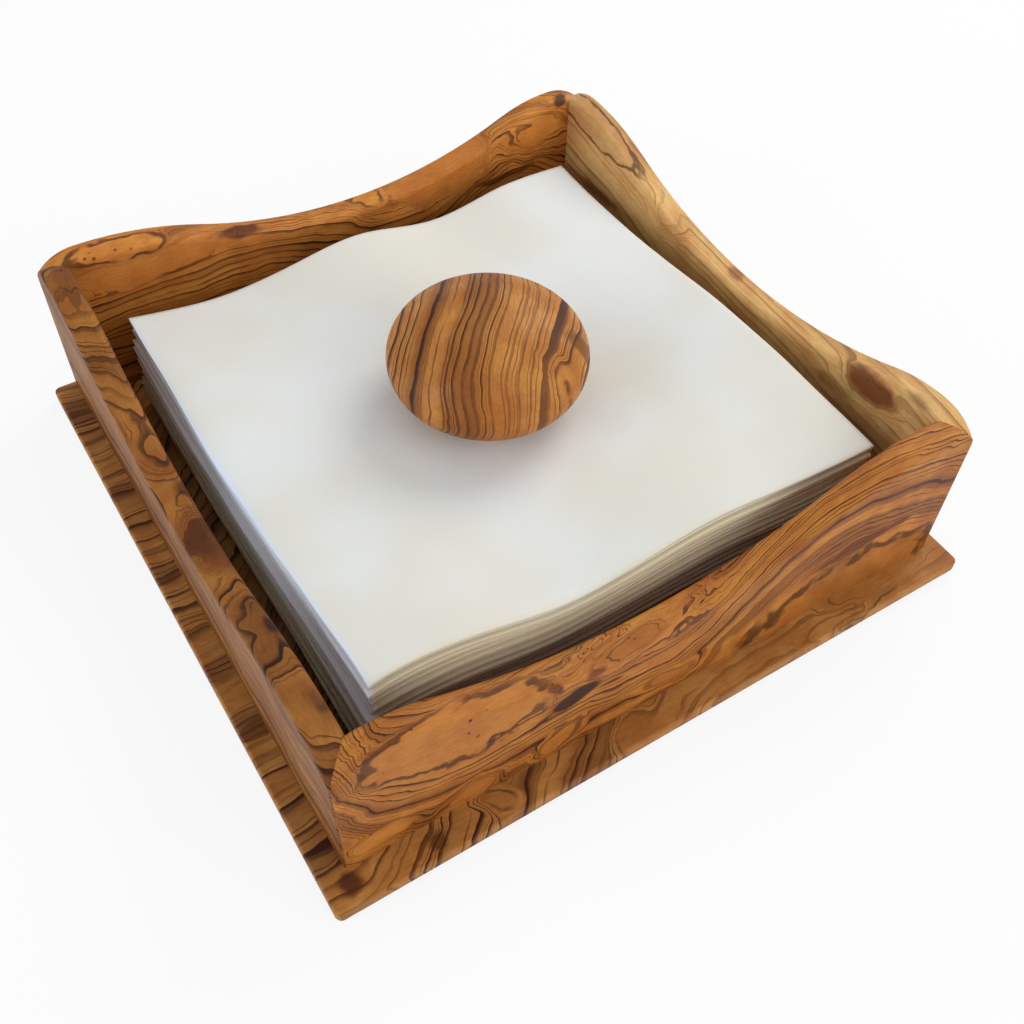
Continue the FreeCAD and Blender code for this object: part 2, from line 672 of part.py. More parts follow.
def build_weight():
    """Turned pebble: crown arc, rim arc and foot arc, tangent to each other.

    The crown's centre lies on the axis and the rim's on the equator, so the
    crown's radius follows from the two circles touching.
    """
    radius = size("weight_radius")
    half = size("weight_half_height")
    rim = size("weight_rim_radius")
    reach = radius - rim
    crown = (reach ** 2 + half ** 2 - rim ** 2) / (2 * (half - rim))
    share = crown / (crown - rim)
    join = (reach * share, (half - crown) * (1 - share))

    body = new_body("weight")
    side = new_sketch(body, "weight_half_side", "XZ_Plane")
    axis = side.addGeometry(Part.LineSegment(vector(0, half), vector(0, -half)), False)
    foot = arc_between(side, (0, crown - half), (0, -half), (join[0], -join[1]))
    bulge = arc_between(side, (reach, 0), (join[0], -join[1]), join)
    top = arc_between(side, (0, half - crown), join, (0, half))
    relate(side, "Coincident", axis, END, foot, START)
    relate(side, "Tangent", foot, END, bulge, START)
    relate(side, "Tangent", bulge, END, top, START)
    relate(side, "Coincident", top, END, axis, START)
    relate(side, "PointOnObject", top, CENTRE, Y_AXIS)
    relate(side, "PointOnObject", foot, CENTRE, Y_AXIS)
    relate(side, "Symmetric", axis, START, axis, END, *ORIGIN_POINT)
    relate(side, "Vertical", axis)
    relate(side, "PointOnObject", bulge, CENTRE, X_AXIS)
    bind(side, "DistanceY", (axis, END, axis, START), 2 * half, "2 * sizes.weight_half_height")
    bind(side, "Radius", (bulge,), rim, "sizes.weight_rim_radius")
    bind(side, "DistanceX", (*ORIGIN_POINT, bulge, CENTRE), reach,
         "sizes.weight_radius - sizes.weight_rim_radius")
    turned = body.newObject("PartDesign::Revolution", "weight_turned")
    turned.Profile = side
    turned.ReferenceAxis = (side, ["V_Axis"])
    turned.Angle = 360
    side.Visibility = False

    place(body, TRAY_X + " + sizes.weight_right", STACK_Y + " + sizes.weight_back", "0")
    return body


def seat_weight(weight, top_napkin):
    """Lower the weight until only the layer gap is left above the top napkin."""
    gap = size("layer_gap")
    height = top_napkin.Shape.BoundBox.ZMax + size("weight_half_height")
    for _ in range(SEATING_STEPS):
        weight.setExpression("Placement.Base.z", "%r" % height)
        DOC.recompute()
        height -= weight.Shape.distToShape(top_napkin.Shape)[0] - gap


# ---------------------------------------------------------------------------
# Assembly
# ---------------------------------------------------------------------------

def check_document():
    DOC.recompute()
    for thing in DOC.Objects:
        if "Invalid" in thing.State or "Error" in thing.State:
            raise RuntimeError("%s failed to recompute" % thing.Name)


def main():
    pieces = [build_board()]
    pieces.append(build_wall("front", ("front_left", "front_right"), TRAY_X,
                             "%s - %s" % (TRAY_Y, HALF_FRAME), 0.0))
    pieces.append(build_wall("right", ("front_right", "back_right"),
                             "%s + %s" % (TRAY_X, HALF_FRAME), TRAY_Y, 90.0))
    pieces.append(build_wall("back", ("back_right", "back_left"), TRAY_X,
                             "%s + %s" % (TRAY_Y, HALF_FRAME), 180.0))
    pieces.append(build_wall("left", ("back_left", "front_left"),
                             "%s - %s" % (TRAY_X, HALF_FRAME), TRAY_Y, 270.0))
    pieces.append(build_spline("spline_front_left", -1, -1))
    pieces.append(build_spline("spline_front_right", 1, -1))
    pieces.append(build_spline("spline_back_left", -1, 1))
    pieces.append(build_spline("spline_back_right", 1, 1))
    for name, x_expr, y_expr in screw_positions():
        pieces.append(build_screw(name, x_expr, y_expr))
    pieces.extend(build_napkins(napkin_bed()))
    pieces.append(build_weight())
    check_document()
    seat_weight(pieces[-1], pieces[-2])
    check_document()

    os.makedirs("parts", exist_ok=True)
    for piece in pieces:
        if piece.Shape.isNull() or not piece.Shape.isValid():
            raise RuntimeError("%s has no valid shape" % piece.Label)
        if len(piece.Shape.Solids) != 1:
            raise RuntimeError("%s is not one solid" % piece.Label)
    for piece in pieces:
        piece.Shape.exportStep(os.path.join("parts", piece.Label + ".step"))


main()
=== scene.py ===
"""Looks of a square olive-wood napkin tray with its folded napkins and a pebble weight.

Laid out as an add-on: every piece has its operator, and the sidebar panel lists them
with the sizes and colours that a user would change.  Lengths in the code are metres
unless a name ends in _mm.  The wood is one shader whose growth rings are the contour
lines of a field: a steady slope across the plank that follows a course, drawn level
in the knots and bent by noise.
"""

import math
from collections import namedtuple

import bpy
import numpy as np
from mathutils import Matrix, Vector


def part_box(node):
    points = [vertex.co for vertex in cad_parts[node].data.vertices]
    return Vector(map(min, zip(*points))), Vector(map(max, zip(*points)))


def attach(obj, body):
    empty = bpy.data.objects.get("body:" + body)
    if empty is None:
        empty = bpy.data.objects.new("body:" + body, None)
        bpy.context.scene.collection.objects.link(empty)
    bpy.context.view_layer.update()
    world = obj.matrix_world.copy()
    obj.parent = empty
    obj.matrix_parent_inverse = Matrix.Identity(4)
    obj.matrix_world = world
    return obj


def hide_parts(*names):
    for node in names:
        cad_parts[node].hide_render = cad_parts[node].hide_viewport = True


bl_info = {
    "name": "Olive-wood napkin tray",
    "version": (1, 0, 0),
    "blender": (4, 5, 0),
    "location": "View3D > Sidebar > Napkin tray",
    "description": "Finishes the wood, folds the napkins and sets the stage",
    "category": "Object",
}

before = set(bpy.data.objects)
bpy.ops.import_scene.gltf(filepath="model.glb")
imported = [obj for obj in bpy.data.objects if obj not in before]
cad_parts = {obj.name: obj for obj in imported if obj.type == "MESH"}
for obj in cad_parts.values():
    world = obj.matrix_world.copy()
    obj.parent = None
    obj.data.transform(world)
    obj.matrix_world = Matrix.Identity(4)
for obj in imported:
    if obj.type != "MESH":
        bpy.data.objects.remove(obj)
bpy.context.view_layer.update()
MM = 0.001
TO_MM = (1000, 1000, 1000)
# Attribute of the napkins: place in the stack, from 0 at the bottom to 1 on top
LEVEL = "level"


# ---- Shader nodes ----

def operands(operation, first, second, third):
    """Inputs of a math node by number; only MULTIPLY_ADD takes the third."""
    inputs = {0: first, 1: second}
    if operation == "MULTIPLY_ADD":
        inputs[2] = third
    return inputs


class Shader:
    """A new material or world, and short calls that add linked nodes to it."""

    # Colour sockets of a Mix node, which also has sockets for numbers and vectors
    MIX_FIRST, MIX_SECOND, MIX_RESULT = 6, 7, 2

    def __init__(self, name, family="materials"):
        self.made = getattr(bpy.data, family).new(name)
        self.made.use_nodes = True
        self.tree = self.made.node_tree
        self.tree.nodes.clear()

    def node(self, kind, inputs=None, **settings):
        """Add a node, set its options and fill the sockets named in inputs."""
        made = self.tree.nodes.new(kind)
        for key, value in settings.items():
            setattr(made, key, value)
        for key, value in (inputs or {}).items():
            self.fill(made.inputs[key], value)
        return made

    def fill(self, socket, value):
        """Link a socket, or set it to a number, vector or colour."""
        if isinstance(value, bpy.types.NodeSocket):
            self.tree.links.new(value, socket)
        else:
            socket.default_value = value

    def math(self, operation, first, second=0.0, third=0.0, clamp=False):
        """Number worked out from up to three others."""
        inputs = operands(operation, first, second, third)
        made = self.node("ShaderNodeMath", inputs, operation=operation, use_clamp=clamp)
        return made.outputs[0]

    def vector(self, operation, first, second=(0, 0, 0), third=(0, 0, 0)):
        """Vector, or for a product or length a number, from up to three vectors."""
        inputs = operands(operation, first, second, third)
        made = self.node("ShaderNodeVectorMath", inputs, operation=operation)
        return made.outputs["Value" if operation in ("DOT_PRODUCT", "LENGTH") else "Vector"]

    def object_place(self, scale=TO_MM):
        """Object coordinates, in millimetres unless another scale is given."""
        coordinates = self.node("ShaderNodeTexCoord")
        return self.vector("MULTIPLY", coordinates.outputs["Object"], scale)

    def step(self, value, low, high, bottom=0.0, top=1.0):
        """Smooth ramp from bottom to top while value goes from low to high."""
        inputs = {"Value": value, "From Min": low, "From Max": high,
                  "To Min": bottom, "To Max": top}
        made = self.node("ShaderNodeMapRange", inputs, interpolation_type="SMOOTHSTEP")
        return made.outputs["Result"]

    def noise(self, place, scale, detail=2.0, roughness=0.5, output="Fac"):
        """Noise in space; place may have been stretched before."""
        inputs = {"Vector": place, "Scale": scale, "Detail": detail, "Roughness": roughness}
        return self.node("ShaderNodeTexNoise", inputs).outputs[output]

    def noise_along(self, value, scale, detail=0.0):
        """Noise that only depends on one number."""
        inputs = {"W": value, "Scale": scale, "Detail": detail}
        made = self.node("ShaderNodeTexNoise", inputs, noise_dimensions="1D")
        return made.outputs["Fac"]

    def blend(self, share, first, second):
        """Mix of two colours."""
        made = self.node("ShaderNodeMix", data_type="RGBA", blend_type="MIX")
        self.fill(made.inputs["Factor"], share)
        self.fill(made.inputs[self.MIX_FIRST], first)
        self.fill(made.inputs[self.MIX_SECOND], second)
        return made.outputs[self.MIX_RESULT]

    def surface(self, inputs, height, depth, strength):
        """Finish the material with a principled shader and the relief of a height."""
        skin = self.node("ShaderNodeBsdfPrincipled", inputs)
        relief = self.node("ShaderNodeBump", {
            "Height": height, "Distance": depth, "Strength": strength})
        self.fill(skin.inputs["Normal"], relief.outputs["Normal"])
        self.node("ShaderNodeOutputMaterial", {"Surface": skin.outputs[0]})
        return self.made


def linear(red, green, blue):
    """Linear colour with alpha from display values of 0 to 255."""
    def straighten(level):
        share = level / 255
        return share / 12.92 if share <= 0.04045 else ((share + 0.055) / 1.055) ** 2.4
    return (straighten(red), straighten(green), straighten(blue), 1.0)


# ---- Olive wood ----
# Plank coordinates are millimetres: u along the plank from its left or back end,
# w through its thickness and z up from the table.  A figure is drawn on u and one
# height: z on an upright plank, w on a flat one.

Knot = namedtuple("Knot", "centre radii tilt lift core rim red brown dark eyes border",
                  defaults=(0.0, None, 0.5, 0.0, 0.0, 0.0, 0.0, 0.0, 0.10))
# centre, radii, tilt: ellipse in u and height, turned by tilt degrees
# lift: None where the rings run through; otherwise the core is drawn level, at this
#     many rings above the plain figure's ring number at its centre
# core: share of the radius that is level and tinted
# rim, border: strength of the core's dark border, and half its width as a share of
#     the radius
# red, brown, dark, eyes: strength of three tints and of small dark dots in the core

Figure = namedtuple("Figure", "turn_deg origin_mm lean upright slope course knots sway "
                    "ripple contrast bands red pale tone seed")
# turn_deg, origin_mm: from the tray's frame to plank coordinates
# lean: shear of the figure, millimetres in u and in z for every millimetre of w
# upright: whether the height in the figure is z, and not w
# slope: rings per millimetre along u, w and z
# course: points (u, height) of one growth line; all others follow it
# knots: drawn in this order, each on the rings that those before it leave
# sway, ripple: millimetres by which wide and small noise bend the rings
# contrast, bands: strength of the ring lines and of the broad dark bands
# red, pale: how far the ground turns to the reddish and to the pale colour
# tone: brightness of the plank
# seed: where the bending noise is taken from

PLANK_MM = 216.0
COURSE_MM = 240.0
FAR_MM = 10000.0

FRONT_FIGURE = Figure(
    turn_deg=0, origin_mm=(108, 98, 0), lean=(-1.05, 2.05), upright=True,
    slope=(0.0, 0.02, 0.29),
    course=((0, 44), (10, 26), (22, 9), (45, 0), (70, 1), (95, -3), (116, -1), (130, 11),
            (146, 24), (165, 31), (190, 29), (216, 20)),
    knots=(
        Knot((97, 52), (29, 27), lift=-7.0, core=0.25),
        Knot((177, 3), (39, 21), lift=4.6, core=0.80, rim=0.80, red=0.35, border=0.16),
        Knot((178, 29), (30, 4.5), 2, core=0.45, brown=0.9),
        Knot((41, 45), (31, 16), -12, lift=-3.2, core=0.74, rim=0.75, red=0.25, eyes=1.0,
             border=0.09),
        Knot((70, 40), (4, 13), 25, core=0.1, brown=0.9),
        Knot((94, 43), (20, 12), 10, lift=-1.5, core=0.35, red=0.45, brown=0.2, eyes=0.6),
        Knot((82, 38), (9, 5), 20, core=0.2, brown=0.8),
        Knot((75, 31), (12, 5), 6, core=0.50, dark=1.0),
        Knot((66, 28), (9, 2), 25, core=0.30, dark=0.9),
        Knot((88, 28), (9, 1.6), -8, core=0.30, dark=0.8),
        Knot((17, 13), (16, 7), lift=1.8, core=0.30),
        Knot((74, 13), (13, 9), 20, lift=2.4, core=0.45, rim=0.6, red=0.2),
        Knot((45, 10), (15, 9), 15, lift=-2.4, core=0.25, eyes=0.9),
        Knot((110, 14), (17, 8), -10, lift=1.2, core=0.35, rim=0.4, red=0.5),
        Knot((134, 8), (6, 12), 20, lift=-1.0, core=0.2, brown=0.3),
    ),
    sway=3.0, ripple=2.2, contrast=1.0, bands=0.60, red=0.5,
    pale=0.0, tone=0.92, seed=3.0)

BACK_FIGURE = Figure(
    turn_deg=0, origin_mm=(108, -97, 0), lean=(-0.42, 0.78), upright=True,
    slope=(0.0, 0.03, 0.36),
    course=((0, 0), (55, 0), (80, -2), (105, -8), (130, -16), (150, -13), (165, -3),
            (182, 3), (200, -4), (216, -12)),
    knots=(
        Knot((40, 50), (34, 8), -3, lift=-2.2, core=0.70, red=0.4),
        Knot((30, 60), (23, 6), -8, lift=1.5, core=0.55, rim=0.8, eyes=0.8, border=0.12),
        Knot((70, 49), (12, 4.5), -14, core=0.5, brown=1.0),
        Knot((50, 44), (24, 1.5), -2, core=0.2, dark=0.7),
        Knot((100, 50), (17, 6), -8, lift=1.8, core=0.3, rim=0.5),
        Knot((117, 46), (14, 7), -25, lift=2.2, core=0.40, rim=0.7, eyes=1.0),
        Knot((146, 49), (26, 17), lift=1.5, core=0.65, red=0.5),
        Knot((176, 36), (26, 3), 4, core=0.3, dark=0.8),
        Knot((190, 50), (24, 14), lift=1.2, core=0.2, red=0.1),
        Knot((199, 60), (5, 5), core=0.3, dark=0.9),
    ),
    sway=3.5, ripple=1.4, contrast=1.0, bands=0.45, red=0.25,
    pale=0.0, tone=1.10, seed=11.0)

RIGHT_FIGURE = Figure(
    turn_deg=90, origin_mm=(108, -94.5, 0), lean=(0.95, 1.10), upright=True,
    slope=(0.0, 0.03, 0.20),
    course=((0, 5), (30, 0), (60, -8), (100, -13), (150, -15), (216, -22)),
    knots=(
        Knot((28, 58), (30, 8), -4, lift=-1.2, core=0.78, rim=0.75, brown=0.25),
        Knot((72, 48), (15, 12), 20, lift=2.0, core=0.2),
        Knot((110, 49), (9, 5), 30, core=0.3, brown=0.5),
        Knot((174, 51), (18, 10), 15, lift=1.5, core=0.3, brown=0.9, dark=0.2, eyes=0.6),
        # Painted shade: brown band on the inner face where the napkins meet the wall
        Knot((160, 42), (20, 5), 8, core=0.2, brown=0.5),
        Knot((36, 32), (32, 5), -3, core=0.2, brown=0.7),
        Knot((190, 60), (12, 5), 15, core=0.2, dark=0.5),
        Knot((20, 32), (24, 5), core=0.3, brown=0.6),
    ),
    sway=4.0, ripple=0.8, contrast=0.40, bands=0.25, red=0.35,
    pale=0.95, tone=1.16, seed=23.0)

LEFT_FIGURE = Figure(
    turn_deg=90, origin_mm=(108, 100.5, 0), lean=(0, 0), upright=False,
    slope=(0.0, 0.09, 0.30),
    course=((0, 4), (20, 12), (34, 0), (52, 12), (66, 15), (80, 0), (93, 12), (112, 4),
            (134, 13), (149, -1), (166, 14), (182, 0), (200, 12), (216, 4)),
    knots=(
        Knot((18, 7), (18, 7), 10, core=0.3, red=0.6, brown=0.3, eyes=1.0),
        Knot((55, 12), (10, 8), 20, core=0.3, brown=0.9),
        Knot((93, 12), (10, 7), 10, core=0.3, brown=0.9),
        Knot((117, 8), (18, 8), lift=1.0, core=0.6, red=0.9, eyes=0.4),
        Knot((164, 12), (12, 7), -15, core=0.2, brown=0.7),
        Knot((203, 10), (10, 7), core=0.2, brown=0.8),
    ),
    sway=4.5, ripple=1.8, contrast=1.0, bands=0.6, red=0.6,
    pale=0.0, tone=0.60, seed=41.0)

BOARD_FIGURE = Figure(
    turn_deg=0, origin_mm=(108, 108, 0), lean=(0, 0), upright=False,
    slope=(0.0, 0.16, 0.02),
    course=((0, -72), (12, -71), (24, -62), (60, -24), (90, 2), (110, 14), (130, 19),
            (216, 22)),
    knots=(
        Knot((30, 5), (6, 8), -20, core=0.3, brown=0.8),
        Knot((50, 6), (7, 9), 30, lift=-1.0, core=0.3, rim=0.6, red=0.4),
        Knot((92, 4), (14, 7), 30, lift=-1.0, core=0.3, red=0.5),
        Knot((4, 8), (8, 9), 20, core=0.2, brown=0.9, dark=0.4),
        Knot((190, 8), (34, 5), lift=1.6, core=0.4, red=0.2),
        Knot((165, 2), (20, 4), lift=1.0, core=0.3),
        Knot((4, 60), (9, 4), core=0.6, brown=0.8),
        Knot((4, 162), (9, 5), core=0.6, brown=0.6),
    ),
    sway=4.0, ripple=2.2, contrast=1.0, bands=0.6, red=0.25,
    pale=0.25, tone=0.78, seed=53.0)

WEIGHT_FIGURE = Figure(
    turn_deg=-58, origin_mm=(108, 0, 0), lean=(0, 0), upright=False,
    slope=(0.0, 0.28, 0.02),
    course=((60, 0), (76, 4), (80, 6), (86, 7), (93, 6), (98, 5), (110, 2), (128, 0),
            (150, 0)),
    knots=(
        Knot((88, -27), (15, 7), 62, lift=1.8, core=0.15, red=0.8, rim=0.6),
        Knot((104, -29), (9, 5), 80, core=0.5, dark=0.6),
        Knot((80, 0), (20, 30), core=0.2, red=0.5),
    ),
    sway=1.6, ripple=0.9, contrast=1.0, bands=0.55, red=0.3,
    pale=0.15, tone=0.92, seed=79.0)


# Bends of the rings: the figure's reach in millimetres that a bend takes, times how
# much, the noise's scale per millimetre and its stretch along the plank
Bend = namedtuple("Bend", "reach times scale stretch")
BENDS = (Bend("sway", 2.4, 0.024, 0.7), Bend("ripple", 2.4, 0.085, 0.7),
         Bend("ripple", 0.7, 0.28, 0.6))

# Scales of the other noises, per millimetre and, for two of them, per ring
FRAY_SCALE = 0.11
RED_SCALE = 0.04
FADE_SCALE = 0.035
HAIR_SCALE = 0.05
FIBRE_SCALE = 1.5
FIBRE_STRETCH = (0.16, 1.0, 1.0)
MOTTLE_SCALE = 0.12
EYE_SCALE = 0.30
UNEVEN_PER_RING = 0.6
BAND_PER_RING = 0.31

# Soft steps: where they start and where they are full, and the two values that they
# go between where these aren't 0 and 1
RED_CLOUD = (0.40, 0.70)
BROKEN_RIM = (0.30, 0.50)
RING_STRENGTH = (0.0, 0.65, 0.30, 1.0)
FADED_PATCH = (0.34, 0.54, 0.60, 1.0)
LINE_START = (0.76, 0.90)
HAIR_START = (0.72, 0.93)
HAIR_PATCH = (0.38, 0.60, 0.10, 0.75)
BAND_START = (0.50, 0.66)
BANDS_AT_LEVEL = (0.7, 0.2)
RINGS_AT_LEVEL = (1.0, 0.8)
EYE_DOT = (0.24, 0.12)
EYE_PATCH = (0.48, 0.56)
TAN_CLOUD = (0.35, 0.65)

# Ragged outline of a knot, as a share of its radius
FRAY = 0.7
# Width of the step from a knot's tinted core to the wood round it, and its limit
CORE_SOFTNESS = 0.35
CORE_LIMIT = 1.1
# Rings by which their spacing is uneven, and the power that keeps late wood late
UNEVEN_RINGS = 2.0
LATE_POWER = 3.0
# Finer lines to a ring, and their shift against it
FINER_LINES = 2.0
FINER_SHIFT = 0.37
# Strength of the tan clouds, what a pale ground takes off it, and strength of the
# late wood and of the lines at full contrast
TAN_SHARE = 0.7
TAN_LESS_PALE = 0.45
LATE_SHARE = 0.95
LINE_SHARE = 0.92
# Share of a rim's half width that is fully dark
RIM_CORE = 0.4
# Fibre: steps of its tone and of its gloss, its darkest and lightest tone, how much
# rougher and smoother it gets, and how deep the lines lie in the relief
FIBRE_TONE = (0.25, 0.75)
FIBRE_GLOSS = (0.2, 0.8)
DARK_FIBRE = 0.86
LIGHT_FIBRE = 1.12
ROUGHER = 0.10
SMOOTHER = 0.04
LINE_DEPTH = 0.35
WOOD_SPECULAR = 0.16
# The turned weight is this much smoother than the planks
WEIGHT_POLISH = 0.04
TINTS = ("red", "brown", "dark", "eyes")


def plank_place(shader, figure):
    """Plank coordinates of a surface point, in millimetres."""
    coordinates = shader.node("ShaderNodeTexCoord")
    mapping = shader.node("ShaderNodeMapping", {
        "Vector": coordinates.outputs["Object"],
        "Location": figure.origin_mm,
        "Rotation": (0, 0, math.radians(figure.turn_deg)),
        "Scale": TO_MM})
    place = mapping.outputs["Vector"]
    if any(figure.lean):
        depth = shader.node("ShaderNodeSeparateXYZ", {"Vector": place}).outputs["Y"]
        push = (figure.lean[0], 0, figure.lean[1])
        place = shader.vector("MULTIPLY_ADD", depth, push, place)
    return place


def bent_place(shader, place, figure):
    """Place moved by wide and small noise, stretched along the plank."""
    moved = place
    for bend in BENDS:
        reach = getattr(figure, bend.reach) * bend.times
        seeded = shader.vector("MULTIPLY_ADD", place, (bend.stretch, 1, 1),
                               (figure.seed, 0, figure.seed))
        wave = shader.noise(seeded, bend.scale, detail=1.0, output="Color")
        offset = shader.vector("MULTIPLY_ADD", wave, (reach,) * 3, (-reach / 2,) * 3)
        moved = shader.vector("ADD", moved, offset)
    return moved


def rings_per_mm(figure):
    """Rings per millimetre of the figure's height, which is z or w."""
    return figure.slope[2 if figure.upright else 1]


def growth_rings(shader, moved, figure):
    """Ring number at a point: its height above the figure's course, in rings."""
    rings = shader.vector("DOT_PRODUCT", moved, figure.slope)
    along = shader.node("ShaderNodeSeparateXYZ", {"Vector": moved}).outputs["X"]
    curve = shader.node("ShaderNodeFloatCurve", {
        "Value": shader.math("MULTIPLY", along, 1 / PLANK_MM)})
    points = curve.mapping.curves[0].points
    spots = [(u / PLANK_MM, height / COURSE_MM + 0.5) for u, height in figure.course]
    points[0].location = spots[0]
    points[1].location = spots[-1]
    for spot in spots[1:-1]:
        points.new(*spot)
    curve.mapping.update()
    rate = COURSE_MM * rings_per_mm(figure)
    return shader.math("MULTIPLY_ADD", curve.outputs["Value"], -rate,
                       shader.math("ADD", rings, rate / 2))


def plain_ring(knot, figure):
    """Ring number of the plain figure at a knot's centre."""
    u, height = knot.centre
    course = np.interp(u, *zip(*figure.course))
    return figure.slope[0] * u + rings_per_mm(figure) * (height - float(course))


def knot_distance(shader, moved, knot, upright):
    """Elliptic distance from the knot's centre, 1 on its outline."""
    u, height = knot.centre
    wide, high = knot.radii
    turn = math.radians(knot.tilt)
    if upright:
        spot, spin, reach = (u, 0, height), (0, -turn, 0), (wide, FAR_MM, high)
    else:
        spot, spin, reach = (u, height, 0), (0, 0, turn), (wide, high, FAR_MM)
    mapping = shader.node("ShaderNodeMapping", {
        "Vector": moved, "Location": spot, "Rotation": spin, "Scale": reach},
        vector_type="TEXTURE")
    return shader.vector("LENGTH", mapping.outputs["Vector"])


def knotted_rings(shader, place, moved, figure):
    """Ring number drawn level in the knots, the share of that, and the tints.

    Inside a knot: ring number = rings + (level - rings) * share, where the share goes
    from 0 on the knot's outline to 1 at its core.
    """
    rings = growth_rings(shader, moved, figure)
    frayed = shader.noise(place, FRAY_SCALE)
    fray = shader.math("MULTIPLY_ADD", frayed, FRAY, -FRAY / 2)
    tints = dict.fromkeys(TINTS, 0.0)
    cloud = shader.noise(place, RED_SCALE)
    tints["red"] = shader.step(cloud, *RED_CLOUD, 0.0, figure.red)
    level_share = 0.0
    for knot in figure.knots:
        distance = knot_distance(shader, moved, knot, figure.upright)
        distance = shader.math("ADD", distance, fray)
        if knot.lift is not None:
            level = plain_ring(knot, figure) + knot.lift
            inside = shader.step(distance, 1.0, knot.core)
            gap = shader.math("SUBTRACT", level, rings)
            rings = shader.math("MULTIPLY_ADD", inside, gap, rings)
            level_share = shader.math("MAXIMUM", level_share, inside)
        edge = min(knot.core + CORE_SOFTNESS, CORE_LIMIT)
        core = shader.step(distance, edge, knot.core)
        for tint in TINTS:
            amount = getattr(knot, tint)
            if amount:
                added = shader.math("MULTIPLY", core, amount)
                tints[tint] = shader.math("MAXIMUM", tints[tint], added)
        if knot.rim:
            middle = knot.core + knot.border
            offset = shader.math("ABSOLUTE", shader.math("SUBTRACT", distance, middle))
            rim = shader.step(offset, knot.border, knot.border * RIM_CORE, 0.0, knot.rim)
            broken = shader.math("MULTIPLY", rim, shader.step(frayed, *BROKEN_RIM))
            tints["dark"] = shader.math("MAXIMUM", tints["dark"], broken)
    return rings, level_share, tints


def ring_lines(shader, moved, rings, level_share):
    """Late wood and dark lines of the rings, each with a strength of its own."""
    uneven = shader.noise_along(rings, UNEVEN_PER_RING)
    number = shader.math("MULTIPLY_ADD", uneven, UNEVEN_RINGS, rings)
    along = shader.math("FRACT", number)
    index = shader.math("FLOOR", number)
    chance = shader.node("ShaderNodeTexWhiteNoise", {"W": index}, noise_dimensions="1D")
    strength = shader.step(chance.outputs["Value"], *RING_STRENGTH)
    patches = shader.noise(moved, FADE_SCALE, detail=1.0)
    strength = shader.math("MULTIPLY", strength, shader.step(patches, *FADED_PATCH))
    strength = shader.math("MULTIPLY", strength, shader.step(level_share, *RINGS_AT_LEVEL))
    late = shader.math("MULTIPLY", shader.math("POWER", along, LATE_POWER), strength)
    line = shader.math("MULTIPLY", shader.step(along, *LINE_START), strength)
    finer = shader.math("MULTIPLY_ADD", number, FINER_LINES, FINER_SHIFT)
    patches = shader.noise(moved, HAIR_SCALE)
    hair = shader.math("MULTIPLY", shader.step(shader.math("FRACT", finer), *HAIR_START),
                       shader.step(patches, *HAIR_PATCH))
    return late, shader.math("MAXIMUM", line, hair)


def olive_wood(name, figure, colours, gloss):
    """Oiled olive wood.

    Ring number = slope . place - course + noise, drawn level in the knots.  Each
    ring darkens slowly and ends in a thin line; its strength is drawn from its
    number, and finer, fainter lines run between.
    """
    shader = Shader(name)
    place = plank_place(shader, figure)
    moved = bent_place(shader, place, figure)
    rings, level_share, tints = knotted_rings(shader, place, moved, figure)
    late, line = ring_lines(shader, moved, rings, level_share)
    bands = shader.noise_along(rings, BAND_PER_RING, 1.0)
    bands = shader.step(bands, *BAND_START, 0.0, figure.bands)
    bands = shader.math("MULTIPLY", bands, shader.step(level_share, *BANDS_AT_LEVEL))

    stretched = shader.vector("MULTIPLY", place, FIBRE_STRETCH)
    fibre = shader.noise(stretched, FIBRE_SCALE, detail=4.0, roughness=0.65)
    mottle = shader.noise(moved, MOTTLE_SCALE, detail=3.0)
    cells = shader.node("ShaderNodeTexVoronoi", {"Vector": place, "Scale": EYE_SCALE})
    dots = shader.step(cells.outputs["Distance"], *EYE_DOT)
    eyes = shader.math("MULTIPLY", shader.math("MULTIPLY", dots, tints["eyes"]),
                       shader.step(mottle, *EYE_PATCH))

    golden = shader.blend(figure.pale, colours.golden, colours.pale)
    clouds = shader.step(mottle, *TAN_CLOUD, 0.0, TAN_SHARE - TAN_LESS_PALE * figure.pale)
    colour = shader.blend(clouds, golden, colours.tan)
    colour = shader.blend(tints["red"], colour, colours.red)
    late = shader.math("MULTIPLY", late, LATE_SHARE * figure.contrast)
    colour = shader.blend(late, colour, colours.brown)
    brown = shader.math("MAXIMUM", bands, tints["brown"])
    colour = shader.blend(brown, colour, colours.brown)
    line = shader.math("MULTIPLY", line, LINE_SHARE * figure.contrast)
    shade = shader.math("MAXIMUM", line, shader.math("MAXIMUM", tints["dark"], eyes))
    colour = shader.blend(shade, colour, colours.dark)
    streak = shader.step(fibre, *FIBRE_TONE, DARK_FIBRE * figure.tone,
                         LIGHT_FIBRE * figure.tone)
    colour = shader.vector("SCALE", colour)
    shader.fill(colour.node.inputs["Scale"], streak)

    roughness = shader.step(fibre, *FIBRE_GLOSS, gloss + ROUGHER, gloss - SMOOTHER)
    height = shader.math("MULTIPLY_ADD", line, -LINE_DEPTH, fibre)
    return shader.surface({
        "Base Color": colour, "Roughness": roughness, "Specular IOR Level": WOOD_SPECULAR},
        height, 0.05 * MM, 0.5)


# ---- Other materials ----

# Millimetres in the tray's frame between which the stack's front edge takes its painted
# shade and warm bounce light, and its left edge its painted cool light
FRONT_PAINTED_LIGHT_AND_SHADE_MM = (-78.0, -81.0)
LEFT_PAINTED_COOL_LIGHT_MM = (-79.0, -81.0)
